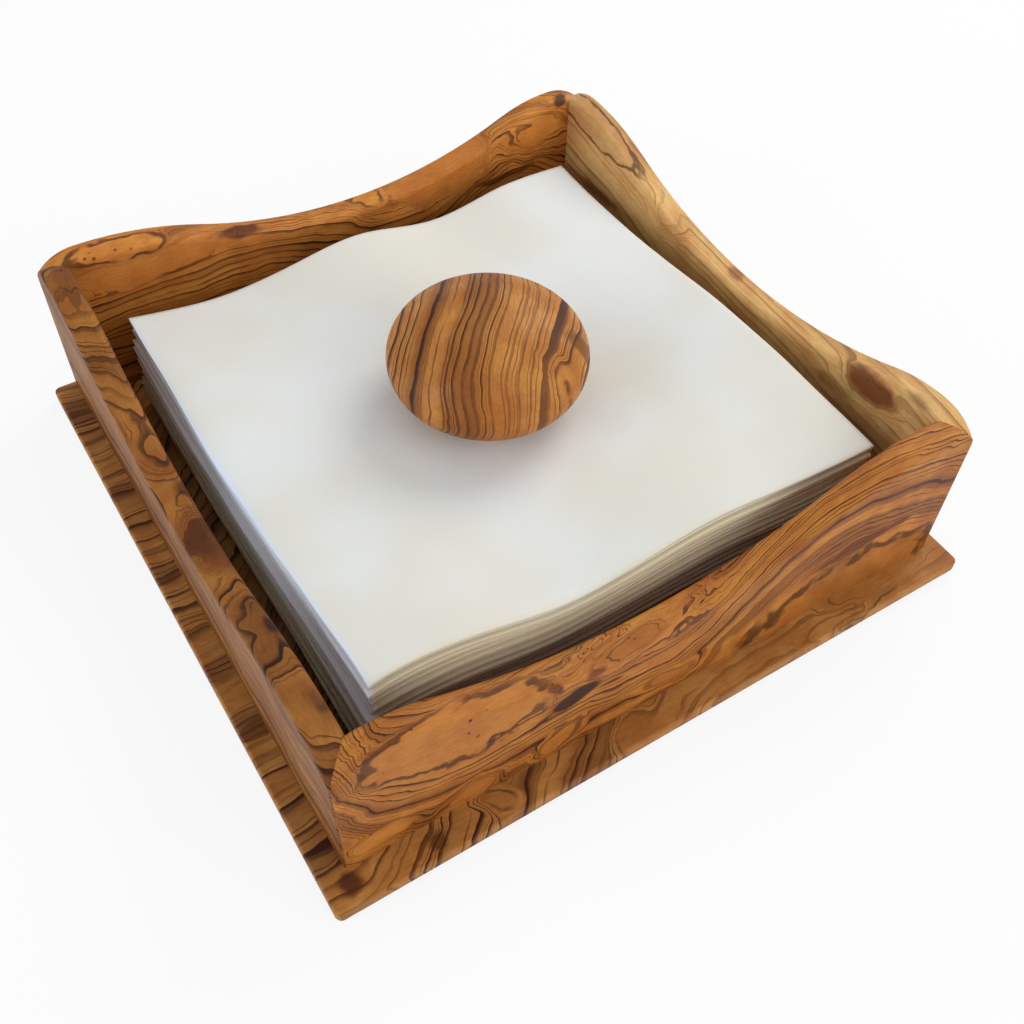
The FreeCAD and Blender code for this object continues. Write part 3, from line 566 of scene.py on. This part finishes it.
# Places in the stack between which the tissue turns cream as painted warm bounce light,
# darkens to brown as painted shade and brown bounce light and, on the left edge, takes
# a painted cool light
PAINTED_BOUNCE_PLACES = (0.99, 0.80)
PAINTED_SHADE_PLACES = (0.97, 0.45)
PAINTED_COOL_LIGHT_PLACES = (0.40, 0.70, 0.0, 0.6)
CREAM_SCALE = 0.02
CREAM_CLOUD = (0.35, 0.65, 0.0, 0.35)
# Strength along the front edge of the painted warm bounce light and of the painted shade,
# and of the painted shade elsewhere in the stack
PAINTED_BOUNCE_IN_FRONT = 0.6
PAINTED_SHADE_IN_FRONT = 0.75
PAINTED_SHADE_ELSEWHERE = 0.25


def tissue_paper(name, white, cream, painted_shade, cool):
    """Soft napkin tissue with embossed dots and crepe lines.

    Painted warm bounce light turns the tissue to cream, and painted shade with brown
    bounce light then turns it brown, with its depth in the stack and sooner along the
    front edge; a painted cool light tints the upper folds along the left edge.
    """
    shader = Shader(name)
    place = shader.object_place()
    parts = shader.node("ShaderNodeSeparateXYZ", {"Vector": place})
    level = shader.node("ShaderNodeAttribute", attribute_name=LEVEL).outputs["Fac"]
    front = shader.step(parts.outputs["Y"], *FRONT_PAINTED_LIGHT_AND_SHADE_MM)
    left = shader.step(parts.outputs["X"], *LEFT_PAINTED_COOL_LIGHT_MM)
    cloud = shader.step(shader.noise(place, CREAM_SCALE), *CREAM_CLOUD)
    # Painted warm bounce light: cream below the very top of the stack, more along the front
    # edge
    painted_bounce = shader.math("MULTIPLY_ADD", front, PAINTED_BOUNCE_IN_FRONT,
                       shader.step(level, *PAINTED_BOUNCE_PLACES))
    # Cream share: random warm clouds of the paper plus the painted warm bounce light
    cream_and_painted_bounce = shader.math("ADD", painted_bounce, cloud, clamp=True)
    colour = shader.blend(cream_and_painted_bounce, white, cream)
    # Painted shade and brown bounce light: brown with depth in the stack, stronger along
    # the front edge
    sooner = shader.math("MULTIPLY_ADD", front, PAINTED_SHADE_IN_FRONT, PAINTED_SHADE_ELSEWHERE)
    painted_shade_share = shader.math("MULTIPLY", shader.step(level, *PAINTED_SHADE_PLACES), sooner)
    colour = shader.blend(painted_shade_share, colour, painted_shade)
    # Painted cool light on the upper folds along the left edge
    painted_cool_light = shader.math("MULTIPLY", left, shader.step(level, *PAINTED_COOL_LIGHT_PLACES))
    colour = shader.blend(painted_cool_light, colour, cool)
    crepe = shader.noise(shader.vector("MULTIPLY", place, (0.5, 2.6, 1.0)), 1.1, detail=3.0)
    dots = shader.node("ShaderNodeTexVoronoi", {"Vector": place, "Scale": 0.85})
    relief = shader.math("MULTIPLY_ADD", dots.outputs["Distance"], 0.6, crepe)
    return shader.surface({
        "Base Color": colour, "Roughness": 0.92, "Specular IOR Level": 0.2,
        "Sheen Weight": 0.15, "Sheen Roughness": 0.6,
        "Subsurface Weight": 0.12, "Subsurface Scale": 0.0012},
        relief, 0.06 * MM, 0.45)


def tongue_wood(name, colour, gloss):
    """Plain straight-grained hardwood of the loose tongues, its grain upright."""
    shader = Shader(name)
    place = shader.object_place((900, 900, 60))
    grain = shader.noise(place, 1.0, detail=4.0)
    darker = [0.62 * part for part in colour[:3]] + [1.0]
    shown = shader.blend(shader.step(grain, 0.35, 0.7), colour, darker)
    return shader.surface({
        "Base Color": shown, "Roughness": gloss + 0.1}, grain, 0.03 * MM, 0.5)


def brushed_steel(name, colour):
    """Turned steel of the screws, with fine scratches round the vertical."""
    shader = Shader(name)
    stretched = shader.vector("MULTIPLY", shader.object_place(), (3, 3, 14))
    scratch = shader.noise(stretched, 1.0, detail=3.0)
    roughness = shader.step(scratch, 0.3, 0.7, 0.24, 0.42)
    return shader.surface({
        "Base Color": colour, "Metallic": 1.0, "Roughness": roughness},
        scratch, 0.01 * MM, 0.4)


# ---- Napkins ----
# A napkin is one square sheet folded twice.  The first fold lies on the left, the
# second in front, so four leaves lie above each other.

# Heights above the table that the stack's top is drawn to, in millimetres: evenly
# spaced from the left edge to the right, and in rows from the front edge to the back.
SURFACE_MM = np.array((
    (55.0, 55.0, 43.0, 47.5, 51.0, 45.5, 45.5),
    (47.0, 46.0, 41.0, 40.0, 43.0, 44.0, 47.0),
    (42.0, 41.0, 39.5, 38.0, 39.0, 41.5, 45.0),
    (39.0, 38.5, 39.5, 41.0, 38.0, 41.0, 39.5),
    (42.5, 37.0, 39.5, 46.5, 34.5, 43.5, 42.0)))
# Drop of the rolled left edge halfway along it, the width of the roll, the share of
# the drop by which the napkin bulges beside it, and the drop of the corner in front
EDGE_ROLL_MM = 3.0
EDGE_ROLL_WIDTH_MM = 5.0
EDGE_BULGE = 0.35
CORNER_ROLL_MM = 2.5
# Points on the half circle of a fold, with those where it meets the legs
BEND_POINTS = 7
# Points along a leg of the two napkins that show from above, and of the others
SHOWN_POINTS = 64
HIDDEN_POINTS = 34
# Napkins were laid in batches of this many: a batch lies askew and off the stack's
# middle together, and each napkin in it by its own amount
BATCH = 5
BATCH_ASKEW_DEG = 0.15
NAPKIN_ASKEW_DEG = 0.18
# The same in shares of the drift, the share by which an edge wanders, the power that
# keeps this to the edges, and how often its longest wave runs along one
BATCH_STEP = 0.5
NAPKIN_STEP = 0.35
EDGE_WANDER = 0.35
EDGE_POWER = 6
EDGE_WAVES = 1.3
# How fast the slump of the stack fades towards its top
SLUMP_POWER = 0.7
# First seeds of the single napkins and of the batches
NAPKIN_SEED = 100
BATCH_SEED = 7


def soft_weights(share, count):
    """Weights of the evenly spaced heights at a share of 0 to 1 of the way.

    Uniform cubic B-spline, with one more height mirrored beyond either end, so the
    curve starts and ends on its first and last height.
    """
    place = np.clip(share, 0, 1) * (count - 1)
    first = np.minimum(place.astype(int), count - 2)
    f = place - first
    blend = np.stack([(1 - f) ** 3, 3 * f ** 3 - 6 * f ** 2 + 4,
                      -3 * f ** 3 + 3 * f ** 2 + 3 * f + 1, f ** 3], axis=-1) / 6
    number = np.arange(count + 2)
    lag = number - first[..., None]
    spread = np.where((lag >= 0) & (lag < 4),
                      np.take_along_axis(blend, np.clip(lag, 0, 3), axis=-1), 0.0)
    weights = spread[..., 1:-1].copy()
    for end, beside, beyond in ((0, 1, 0), (-1, -2, -1)):
        weights[..., end] += 2 * spread[..., beyond]
        weights[..., beside] -= spread[..., beyond]
    return weights


def stack_top(x, y, centre, half):
    """Height of the stack's top: the soft surface, rolled down at its left edge.

    The roll is a bulge less exp(-distance / width) from the left edge and is deepest
    in the middle of that edge; the front left corner rolls down as well.
    """
    right = (x - centre.x + half) / (2 * half)
    back = (y - centre.y + half) / (2 * half)
    rows, columns = SURFACE_MM.shape
    height = np.einsum("...r,rc,...c->...", soft_weights(back, rows), SURFACE_MM,
                       soft_weights(right, columns))
    inward = np.clip(right, 0, 1) * 2 * half / MM
    forward = np.clip(back, 0, 1) * 2 * half / MM
    middle = np.sin(np.pi * np.clip(back, 0, 1)) ** 2
    roll = EDGE_ROLL_MM * middle * (EDGE_BULGE - np.exp(-inward / EDGE_ROLL_WIDTH_MM))
    corner = np.exp(-(inward + forward) / EDGE_ROLL_WIDTH_MM)
    return (height + roll - CORNER_ROLL_MM * corner) * MM


def fold_path(length, setback, count):
    """Leg, bend and leg back of a strip, as place along it and turning angle.

    The place falls from the length to the setback, stays there round the bend and
    rises again.  The angle is 0 on the first leg, goes from 0 to pi round the bend
    and stays at pi on the second leg.
    """
    leg = np.linspace(0, 1, count)
    eased = (1 - np.cos(np.pi * leg)) / 2
    spread = 0.5 * leg + 0.5 * eased
    start = length - (length - setback) * spread
    turn = np.linspace(0, math.pi, BEND_POINTS)[1:-1]
    place = np.concatenate([start, np.full(len(turn), setback), start[::-1]])
    angle = np.concatenate([np.zeros(count), turn, np.full(count, math.pi)])
    return place, angle


def wander(rng, value, reach, waves=4):
    """Sum of a few sine waves of random phase along a value of 0 to 1."""
    total = np.zeros_like(value)
    for number in range(1, waves + 1):
        phase = rng.uniform(0, 2 * math.pi)
        turns = 2 * math.pi * number * value * EDGE_WAVES
        total = total + np.sin(turns + phase) / number
    return reach * total / 2


def folded_leaves(side, pitch, count):
    """Flat place of a napkin folded twice, and the height of its leaves.

    Across: leg, bend of half a leaf's pitch, leg back.  Along: the pair of leaves is
    carried round a second bend of one pitch.  The leaf's height is counted from the
    middle of the napkin, as a length before it is spread over the napkin's layer.
    """
    across, across_turn = fold_path(side, pitch / 2, count)
    along, along_turn = fold_path(side, 1.5 * pitch, count)
    offset = -np.cos(across_turn) * pitch / 2
    x_flat = across - np.sin(across_turn) * pitch / 2
    radius = pitch + offset[None, :]
    y_flat = along[:, None] - np.sin(along_turn)[:, None] * radius
    leaf = -np.cos(along_turn)[:, None] * radius
    return np.broadcast_to(x_flat[None, :], y_flat.shape), y_flat, leaf


def folded_napkin(name, layer, settings, count):
    """One folded sheet in the stack, as a grid over the flat sheet's two parameters.

    Every leaf's height is its share of the stack's height at that point, so no two
    leaves meet.  The edges wander a little and each napkin lies slightly askew.
    """
    rng = np.random.default_rng(NAPKIN_SEED + layer)
    layers = settings.count
    half = settings.folded_side / 2
    low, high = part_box("napkin_stack")
    centre = Vector(((low.x + high.x) / 2, (low.y + high.y) / 2, low.z))
    pitch = settings.leaf_pitch
    x_flat, y_flat, leaf = folded_leaves(2 * half, pitch, count)

    side_x = np.clip(x_flat / (2 * half), 0, 1)
    side_y = np.clip(y_flat / (2 * half), 0, 1)
    drift = settings.drift
    pull_x = wander(rng, side_y, drift * EDGE_WANDER) * np.abs(2 * side_x - 1) ** EDGE_POWER
    pull_y = wander(rng, side_x, drift * EDGE_WANDER) * np.abs(2 * side_y - 1) ** EDGE_POWER
    batch = np.random.default_rng(BATCH_SEED + layer // BATCH)
    askew = (rng.normal(0, math.radians(NAPKIN_ASKEW_DEG))
             + batch.normal(0, math.radians(BATCH_ASKEW_DEG)))
    step = rng.normal(0, drift * NAPKIN_STEP, 2) + batch.normal(0, drift * BATCH_STEP, 2)
    step -= settings.slump * (1 - layer / (layers - 1)) ** SLUMP_POWER
    if layer == layers - 1:
        askew = 0.0
        step = np.zeros(2)
    local_x = x_flat - half + pull_x
    local_y = y_flat - half + pull_y
    x = centre.x + step[0] + local_x * math.cos(askew) - local_y * math.sin(askew)
    y = centre.y + step[1] + local_x * math.sin(askew) + local_y * math.cos(askew)

    full = stack_top(x, y, centre, half) - low.z
    share = (layer + 0.5 + leaf / (4 * pitch) * settings.fullness) / layers
    z = low.z + full * share
    rows, columns = x.shape
    points = np.stack([x, y, z], axis=-1).reshape(-1, 3)
    mesh = grid_mesh(name, points, rows, columns)
    level = mesh.attributes.new(LEVEL, "FLOAT", "POINT")
    level.data.foreach_set("value", share.reshape(-1))
    napkin = bpy.data.objects.new(name, mesh)
    bpy.context.scene.collection.objects.link(napkin)
    thickness = napkin.modifiers.new("Paper thickness", "SOLIDIFY")
    thickness.thickness = settings.paper_thickness
    thickness.offset = 0.0
    return napkin


def grid_mesh(name, points, rows, columns):
    """Quads between the neighbours of a rows by columns grid of points."""
    first = np.arange(rows - 1)[:, None] * columns + np.arange(columns - 1)[None, :]
    quads = np.stack([first, first + 1, first + columns + 1, first + columns], axis=-1)
    quads = quads.reshape(-1, 4)
    mesh = bpy.data.meshes.new(name)
    mesh.from_pydata(points.tolist(), [], quads.tolist())
    mesh.polygons.foreach_set("use_smooth", np.ones(len(quads), bool))
    mesh.update()
    return mesh


def lay_napkin(napkin, body, material):
    """Give a folded napkin its paper and hang it from its body."""
    napkin.data.materials.append(material)
    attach(napkin, body)


# ---- Settings ----

Colours = namedtuple("Colours", "golden tan pale red brown dark")


def colour_property(name, description, display):
    """Colour setting with its default given as display values."""
    return bpy.props.FloatVectorProperty(
        name=name, description=description, subtype="COLOR", size=4,
        min=0.0, max=1.0, default=linear(*display))


def number_property(name, description, default, **options):
    """Number setting, with its limits or unit as options."""
    return bpy.props.FloatProperty(
        name=name, description=description, default=default, **options)


def length_property(name, description, default, low=0.0, precision=4):
    """Length setting in metres."""
    return number_property(name, description, default, min=low, unit="LENGTH",
                           precision=precision)


class WoodSettings(bpy.types.PropertyGroup):
    """Colours and finish of the olive wood."""
    golden: colour_property("Golden", "Ground colour of the wood", (206, 135, 60))
    tan: colour_property("Tan", "Second ground colour, in soft clouds", (184, 110, 44))
    pale: colour_property("Pale", "Sapwood of the pale right wall", (214, 172, 110))
    red: colour_property("Red", "Reddish heart inside the knots", (164, 90, 38))
    brown: colour_property("Brown", "Late wood and broad bands", (110, 55, 24))
    dark: colour_property("Dark", "Ring lines, rims and eyes", (64, 28, 14))
    tongue: colour_property("Tongues", "Plain wood of the loose tongues", (214, 178, 126))
    steel: colour_property("Screws", "Steel of the screws", (178, 176, 172))
    gloss: number_property("Roughness", "Roughness of the oiled surface", 0.48,
                           min=0.1, max=0.9)

    def colours(self):
        """The colours of the figure, as plain tuples."""
        return Colours(*(tuple(getattr(self, name)) for name in Colours._fields))


class NapkinSettings(bpy.types.PropertyGroup):
    """Size, number and paper of the napkins."""
    count: bpy.props.IntProperty(
        name="Napkins", description="Folded napkins in the tray, with the top one",
        default=28, min=4, max=60)
    sheet_side: length_property("Sheet side", "Side of the unfolded sheet", 0.33, 0.1)
    folded_side: length_property(
        "Folded side", "Side of the napkin after two folds", 0.165, 0.05)
    leaf_pitch: length_property(
        "Leaf pitch", "Distance between two leaves of a napkin", 0.00032, 0.0001, 5)
    paper_thickness: length_property(
        "Paper thickness", "Thickness of the tissue", 0.00014, 0.00005, 5)
    fullness: number_property(
        "Fullness", "Share of its layer that a napkin fills", 0.86, min=0.3, max=0.98)
    drift: length_property(
        "Drift", "How far napkins lie off the stack's edges", 0.0011)
    slump: length_property(
        "Slump", "How far the lowest napkins lie to the left and forward", 0.0014)
    white: colour_property("White", "Bleached tissue", (236, 232, 228))
    # Cream: warmer tissue in random soft clouds, and also the painted warm bounce light
    # below the top of the stack and along the front
    cream: colour_property("Cream", "Warmer tissue, in soft clouds", (224, 207, 176))
    # Painted shade and brown bounce light deep in the stack
    painted_shade: colour_property("Deep", "Tissue deep in the stack", (150, 118, 96))
    # Painted cool light on the folds along the left edge
    cool: colour_property("Cool", "Folds along the left edge", (222, 228, 250))


class StageSettings(bpy.types.PropertyGroup):
    """Camera, floor and light."""
    azimuth: number_property("Azimuth", "Turn of the camera from straight in front",
                             math.radians(-33.59), unit="ROTATION")
    elevation: number_property("Elevation", "Height of the camera above the horizon",
                               math.radians(50.88), unit="ROTATION")
    roll: number_property("Roll", "Tilt of the camera about its view",
                          math.radians(2.07), unit="ROTATION")
    distance: length_property(
        "Distance", "From the camera to the point it looks at", 0.38738, 0.05, 5)
    target: bpy.props.FloatVectorProperty(
        name="Target", description="Point that the camera looks at",
        default=(0.00079, -0.01633, 0.0), size=3, subtype="TRANSLATION", unit="LENGTH",
        precision=5)
    lens: number_property("Lens", "Focal length on a 36 mm sensor, in millimetres",
                          41.94, min=10.0)
    floor: colour_property("Floor", "Pale floor", (240, 240, 240))
    key_power: number_property(
        "Window", "Power of the wide lamp on the right, in watts", 5.8, min=0.0)
    fill_power: number_property(
        "Fill", "Power of the wide lamp in front, in watts", 5.0, min=0.0)
    shade_power: number_property(
        "Shade", "Power of the cool lamp on the left, in watts", 4.6, min=0.0)
    sky: number_property(
        "Sky", "Strength of the even light from all round", 0.56, min=0.0)


# ---- Pieces ----

def dress(nodes, material):
    """Give CAD nodes a material on every slot."""
    for name in nodes:
        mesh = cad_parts[name].data
        if not len(mesh.materials):
            mesh.materials.append(material)
        for slot in range(len(mesh.materials)):
            mesh.materials[slot] = material


def dress_wood(context, node, name, figure, polish=0.0):
    """Give a CAD node its own olive wood, smoother by the polish."""
    wood = context.scene.napkin_tray_wood
    name += " olive wood"
    dress([node], olive_wood(name, figure, wood.colours(), wood.gloss - polish))


class NAPKINTRAY_OT_walls(bpy.types.Operator):
    """Give each of the four walls its own plank of olive wood"""
    bl_idname = "napkintray.walls"
    bl_label = "Walls"

    def execute(self, context):
        for node, figure in (("front_wall", FRONT_FIGURE), ("back_wall", BACK_FIGURE),
                             ("right_wall", RIGHT_FIGURE), ("left_wall", LEFT_FIGURE)):
            dress_wood(context, node, node, figure)
        return {"FINISHED"}


class NAPKINTRAY_OT_board(bpy.types.Operator):
    """Give the base board its olive wood"""
    bl_idname = "napkintray.board"
    bl_label = "Base board"

    def execute(self, context):
        dress_wood(context, "base_board", "Board", BOARD_FIGURE)
        return {"FINISHED"}


class NAPKINTRAY_OT_weight(bpy.types.Operator):
    """Give the turned weight its striped olive wood"""
    bl_idname = "napkintray.weight"
    bl_label = "Weight"

    def execute(self, context):
        dress_wood(context, "weight", "Weight", WEIGHT_FIGURE, WEIGHT_POLISH)
        return {"FINISHED"}


class NAPKINTRAY_OT_joinery(bpy.types.Operator):
    """Give the loose tongues in the mitres and the screws underneath their materials"""
    bl_idname = "napkintray.joinery"
    bl_label = "Tongues and screws"

    def execute(self, context):
        wood = context.scene.napkin_tray_wood
        tongues = sorted(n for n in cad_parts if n.startswith("spline_"))
        screws = sorted(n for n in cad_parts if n.startswith("screw_"))
        dress(tongues, tongue_wood("Tongue wood", tuple(wood.tongue), wood.gloss))
        dress(screws, brushed_steel("Brushed steel", tuple(wood.steel)))
        return {"FINISHED"}


class NAPKINTRAY_OT_napkins(bpy.types.Operator):
    """Fold the napkins and lay them on each other in the tray"""
    bl_idname = "napkintray.napkins"
    bl_label = "Napkins"

    def execute(self, context):
        paper = context.scene.napkin_tray_paper
        material = tissue_paper("Tissue paper", tuple(paper.white), tuple(paper.cream),
                                tuple(paper.painted_shade), tuple(paper.cool))
        for layer in range(paper.count):
            top = layer == paper.count - 1
            points = SHOWN_POINTS if layer >= paper.count - 2 else HIDDEN_POINTS
            name = "folded_napkin_top" if top else "folded_napkin_%02d" % (layer + 1)
            napkin = folded_napkin(name, layer, paper, points)
            if top:
                lay_napkin(napkin, "upper_napkin",
                           material)
                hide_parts("top_napkin")
            else:
                lay_napkin(napkin, "stack", material)
        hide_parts("napkin_stack")
        return {"FINISHED"}


# ---- Stage ----

WHITE = (1, 1, 1, 1)
# Share by which the floor shows white and not as a lit surface
FLOOR_WHITE = 0.86
# From the middle of the floor to its edges, and its depth under the tray
FLOOR_REACH = 6.0
FLOOR_DEPTH = 0.0003
SKY_COLOUR = (0.93, 0.965, 1.0, 1.0)
SENSOR_MM = 36.0
NEAREST = 0.01

# Square lamps, their power as the name of its setting; all shine on one point
Lamp = namedtuple("Lamp", "name power place side colour")
LAMPS = (
    Lamp("Window", "key_power", (0.85, 0.30, 0.80), 0.7, (1.0, 0.975, 0.94)),
    Lamp("Fill", "fill_power", (0.45, -0.95, 0.50), 0.9, (1.0, 0.985, 0.96)),
    Lamp("Shade", "shade_power", (-1.0, 0.10, 0.35), 0.8, (0.80, 0.89, 1.0)))
LAMP_AIM = (0, 0, 0.03)


def pale_floor(colour):
    """Floor that shows nearly white to the camera and keeps a soft shadow."""
    shader = Shader("Pale floor")
    path = shader.node("ShaderNodeLightPath")
    seen = path.outputs["Is Camera Ray"]
    for ray in ("Is Glossy Ray", "Is Transmission Ray"):
        seen = shader.math("MAXIMUM", seen, path.outputs[ray])
    matt = shader.node("ShaderNodeBsdfDiffuse", {"Color": colour})
    white = shader.node("ShaderNodeEmission", {"Color": WHITE, "Strength": 1.0})
    share = shader.math("MULTIPLY", seen, FLOOR_WHITE)
    mix = shader.node("ShaderNodeMixShader", {
        0: share, 1: matt.outputs[0], 2: white.outputs[0]})
    shader.node("ShaderNodeOutputMaterial", {"Surface": mix.outputs[0]})
    return shader.made


def even_sky(strength):
    """World that is white to the camera and lights evenly from all round."""
    shader = Shader("Even sky", "worlds")
    seen = shader.node("ShaderNodeLightPath").outputs["Is Camera Ray"]
    light = shader.node("ShaderNodeBackground", {"Color": SKY_COLOUR, "Strength": strength})
    backdrop = shader.node("ShaderNodeBackground", {"Color": WHITE, "Strength": 1.0})
    mix = shader.node("ShaderNodeMixShader", {
        0: seen, 1: light.outputs[0], 2: backdrop.outputs[0]})
    shader.node("ShaderNodeOutputWorld", {"Surface": mix.outputs[0]})
    bpy.context.scene.world = shader.made


def soft_lamp(kind, power):
    """Square area lamp that shines from its place towards the aim."""
    data = bpy.data.lights.new(kind.name, "AREA")
    data.shape = "SQUARE"
    data.size = kind.side
    data.energy = power
    data.color = kind.colour
    lamp = bpy.data.objects.new(kind.name, data)
    lamp.location = kind.place
    view = Vector(LAMP_AIM) - Vector(kind.place)
    lamp.rotation_euler = view.to_track_quat("-Z", "Y").to_euler()
    bpy.context.scene.collection.objects.link(lamp)


def set_camera(stage):
    """Camera on a sphere about the target, rolled about its own view."""
    flat = math.cos(stage.elevation)
    back = Vector((math.sin(stage.azimuth) * flat, -math.cos(stage.azimuth) * flat,
                   math.sin(stage.elevation)))
    right = (-back).cross(Vector((0, 0, 1))).normalized()
    up = right.cross(-back)
    cosine = math.cos(stage.roll)
    sine = math.sin(stage.roll)
    side = right * cosine + up * sine
    top = up * cosine - right * sine
    place = Vector(stage.target) + back * stage.distance
    data = bpy.data.cameras.new("Camera")
    data.lens = stage.lens
    data.sensor_width = SENSOR_MM
    data.clip_start = NEAREST
    camera = bpy.data.objects.new("Camera", data)
    turned = Matrix((side, top, back)).transposed().to_4x4()
    camera.matrix_world = Matrix.Translation(place) @ turned
    bpy.context.scene.collection.objects.link(camera)
    bpy.context.scene.camera = camera


class NAPKINTRAY_OT_stage(bpy.types.Operator):
    """Set the pale floor, the soft light and the camera"""
    bl_idname = "napkintray.stage"
    bl_label = "Stage"

    def execute(self, context):
        stage = context.scene.napkin_tray_stage
        reach = FLOOR_REACH
        corners = np.array([(-reach, -reach, -FLOOR_DEPTH), (reach, -reach, -FLOOR_DEPTH),
                            (-reach, reach, -FLOOR_DEPTH), (reach, reach, -FLOOR_DEPTH)])
        floor = bpy.data.objects.new("Floor", grid_mesh("Floor", corners, 2, 2))
        floor.data.materials.append(pale_floor(tuple(stage.floor)))
        context.scene.collection.objects.link(floor)
        even_sky(stage.sky)
        for lamp in LAMPS:
            soft_lamp(lamp, getattr(stage, lamp.power))
        set_camera(stage)
        context.scene.view_settings.view_transform = "Standard"
        return {"FINISHED"}


# ---- Panel, registration and run ----

class NAPKINTRAY_PT_panel(bpy.types.Panel):
    """Pieces and settings of the napkin tray"""
    bl_label = "Napkin tray"
    bl_idname = "NAPKINTRAY_PT_panel"
    bl_space_type = "VIEW_3D"
    bl_region_type = "UI"
    bl_category = "Napkin tray"

    def draw(self, context):
        scene = context.scene
        for title, settings, operators in (
                ("Wood", scene.napkin_tray_wood, WOOD_OPERATORS),
                ("Napkins", scene.napkin_tray_paper, PAPER_OPERATORS),
                ("Stage", scene.napkin_tray_stage, STAGE_OPERATORS)):
            box = self.layout.box()
            box.label(text=title)
            for name in settings.__annotations__:
                box.prop(settings, name)
            for operator in operators:
                box.operator(operator.bl_idname)


WOOD_OPERATORS = (NAPKINTRAY_OT_walls, NAPKINTRAY_OT_board, NAPKINTRAY_OT_weight,
                  NAPKINTRAY_OT_joinery)
PAPER_OPERATORS = (NAPKINTRAY_OT_napkins,)
STAGE_OPERATORS = (NAPKINTRAY_OT_stage,)
OPERATORS = WOOD_OPERATORS + PAPER_OPERATORS + STAGE_OPERATORS
CLASSES = (WoodSettings, NapkinSettings, StageSettings) + OPERATORS + (NAPKINTRAY_PT_panel,)


def register():
    """Register the classes and hang the settings on the scene."""
    for kind in CLASSES:
        bpy.utils.register_class(kind)
    scene = bpy.types.Scene
    scene.napkin_tray_wood = bpy.props.PointerProperty(type=WoodSettings)
    scene.napkin_tray_paper = bpy.props.PointerProperty(type=NapkinSettings)
    scene.napkin_tray_stage = bpy.props.PointerProperty(type=StageSettings)


def unregister():
    """Take the settings and the classes away again."""
    del bpy.types.Scene.napkin_tray_stage
    del bpy.types.Scene.napkin_tray_paper
    del bpy.types.Scene.napkin_tray_wood
    for kind in reversed(CLASSES):
        bpy.utils.unregister_class(kind)


def main():
    """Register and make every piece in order."""
    register()
    for operator in OPERATORS:
        family, name = operator.bl_idname.split(".")
        getattr(getattr(bpy.ops, family), name)()


if __name__ == "__main__":
    main()
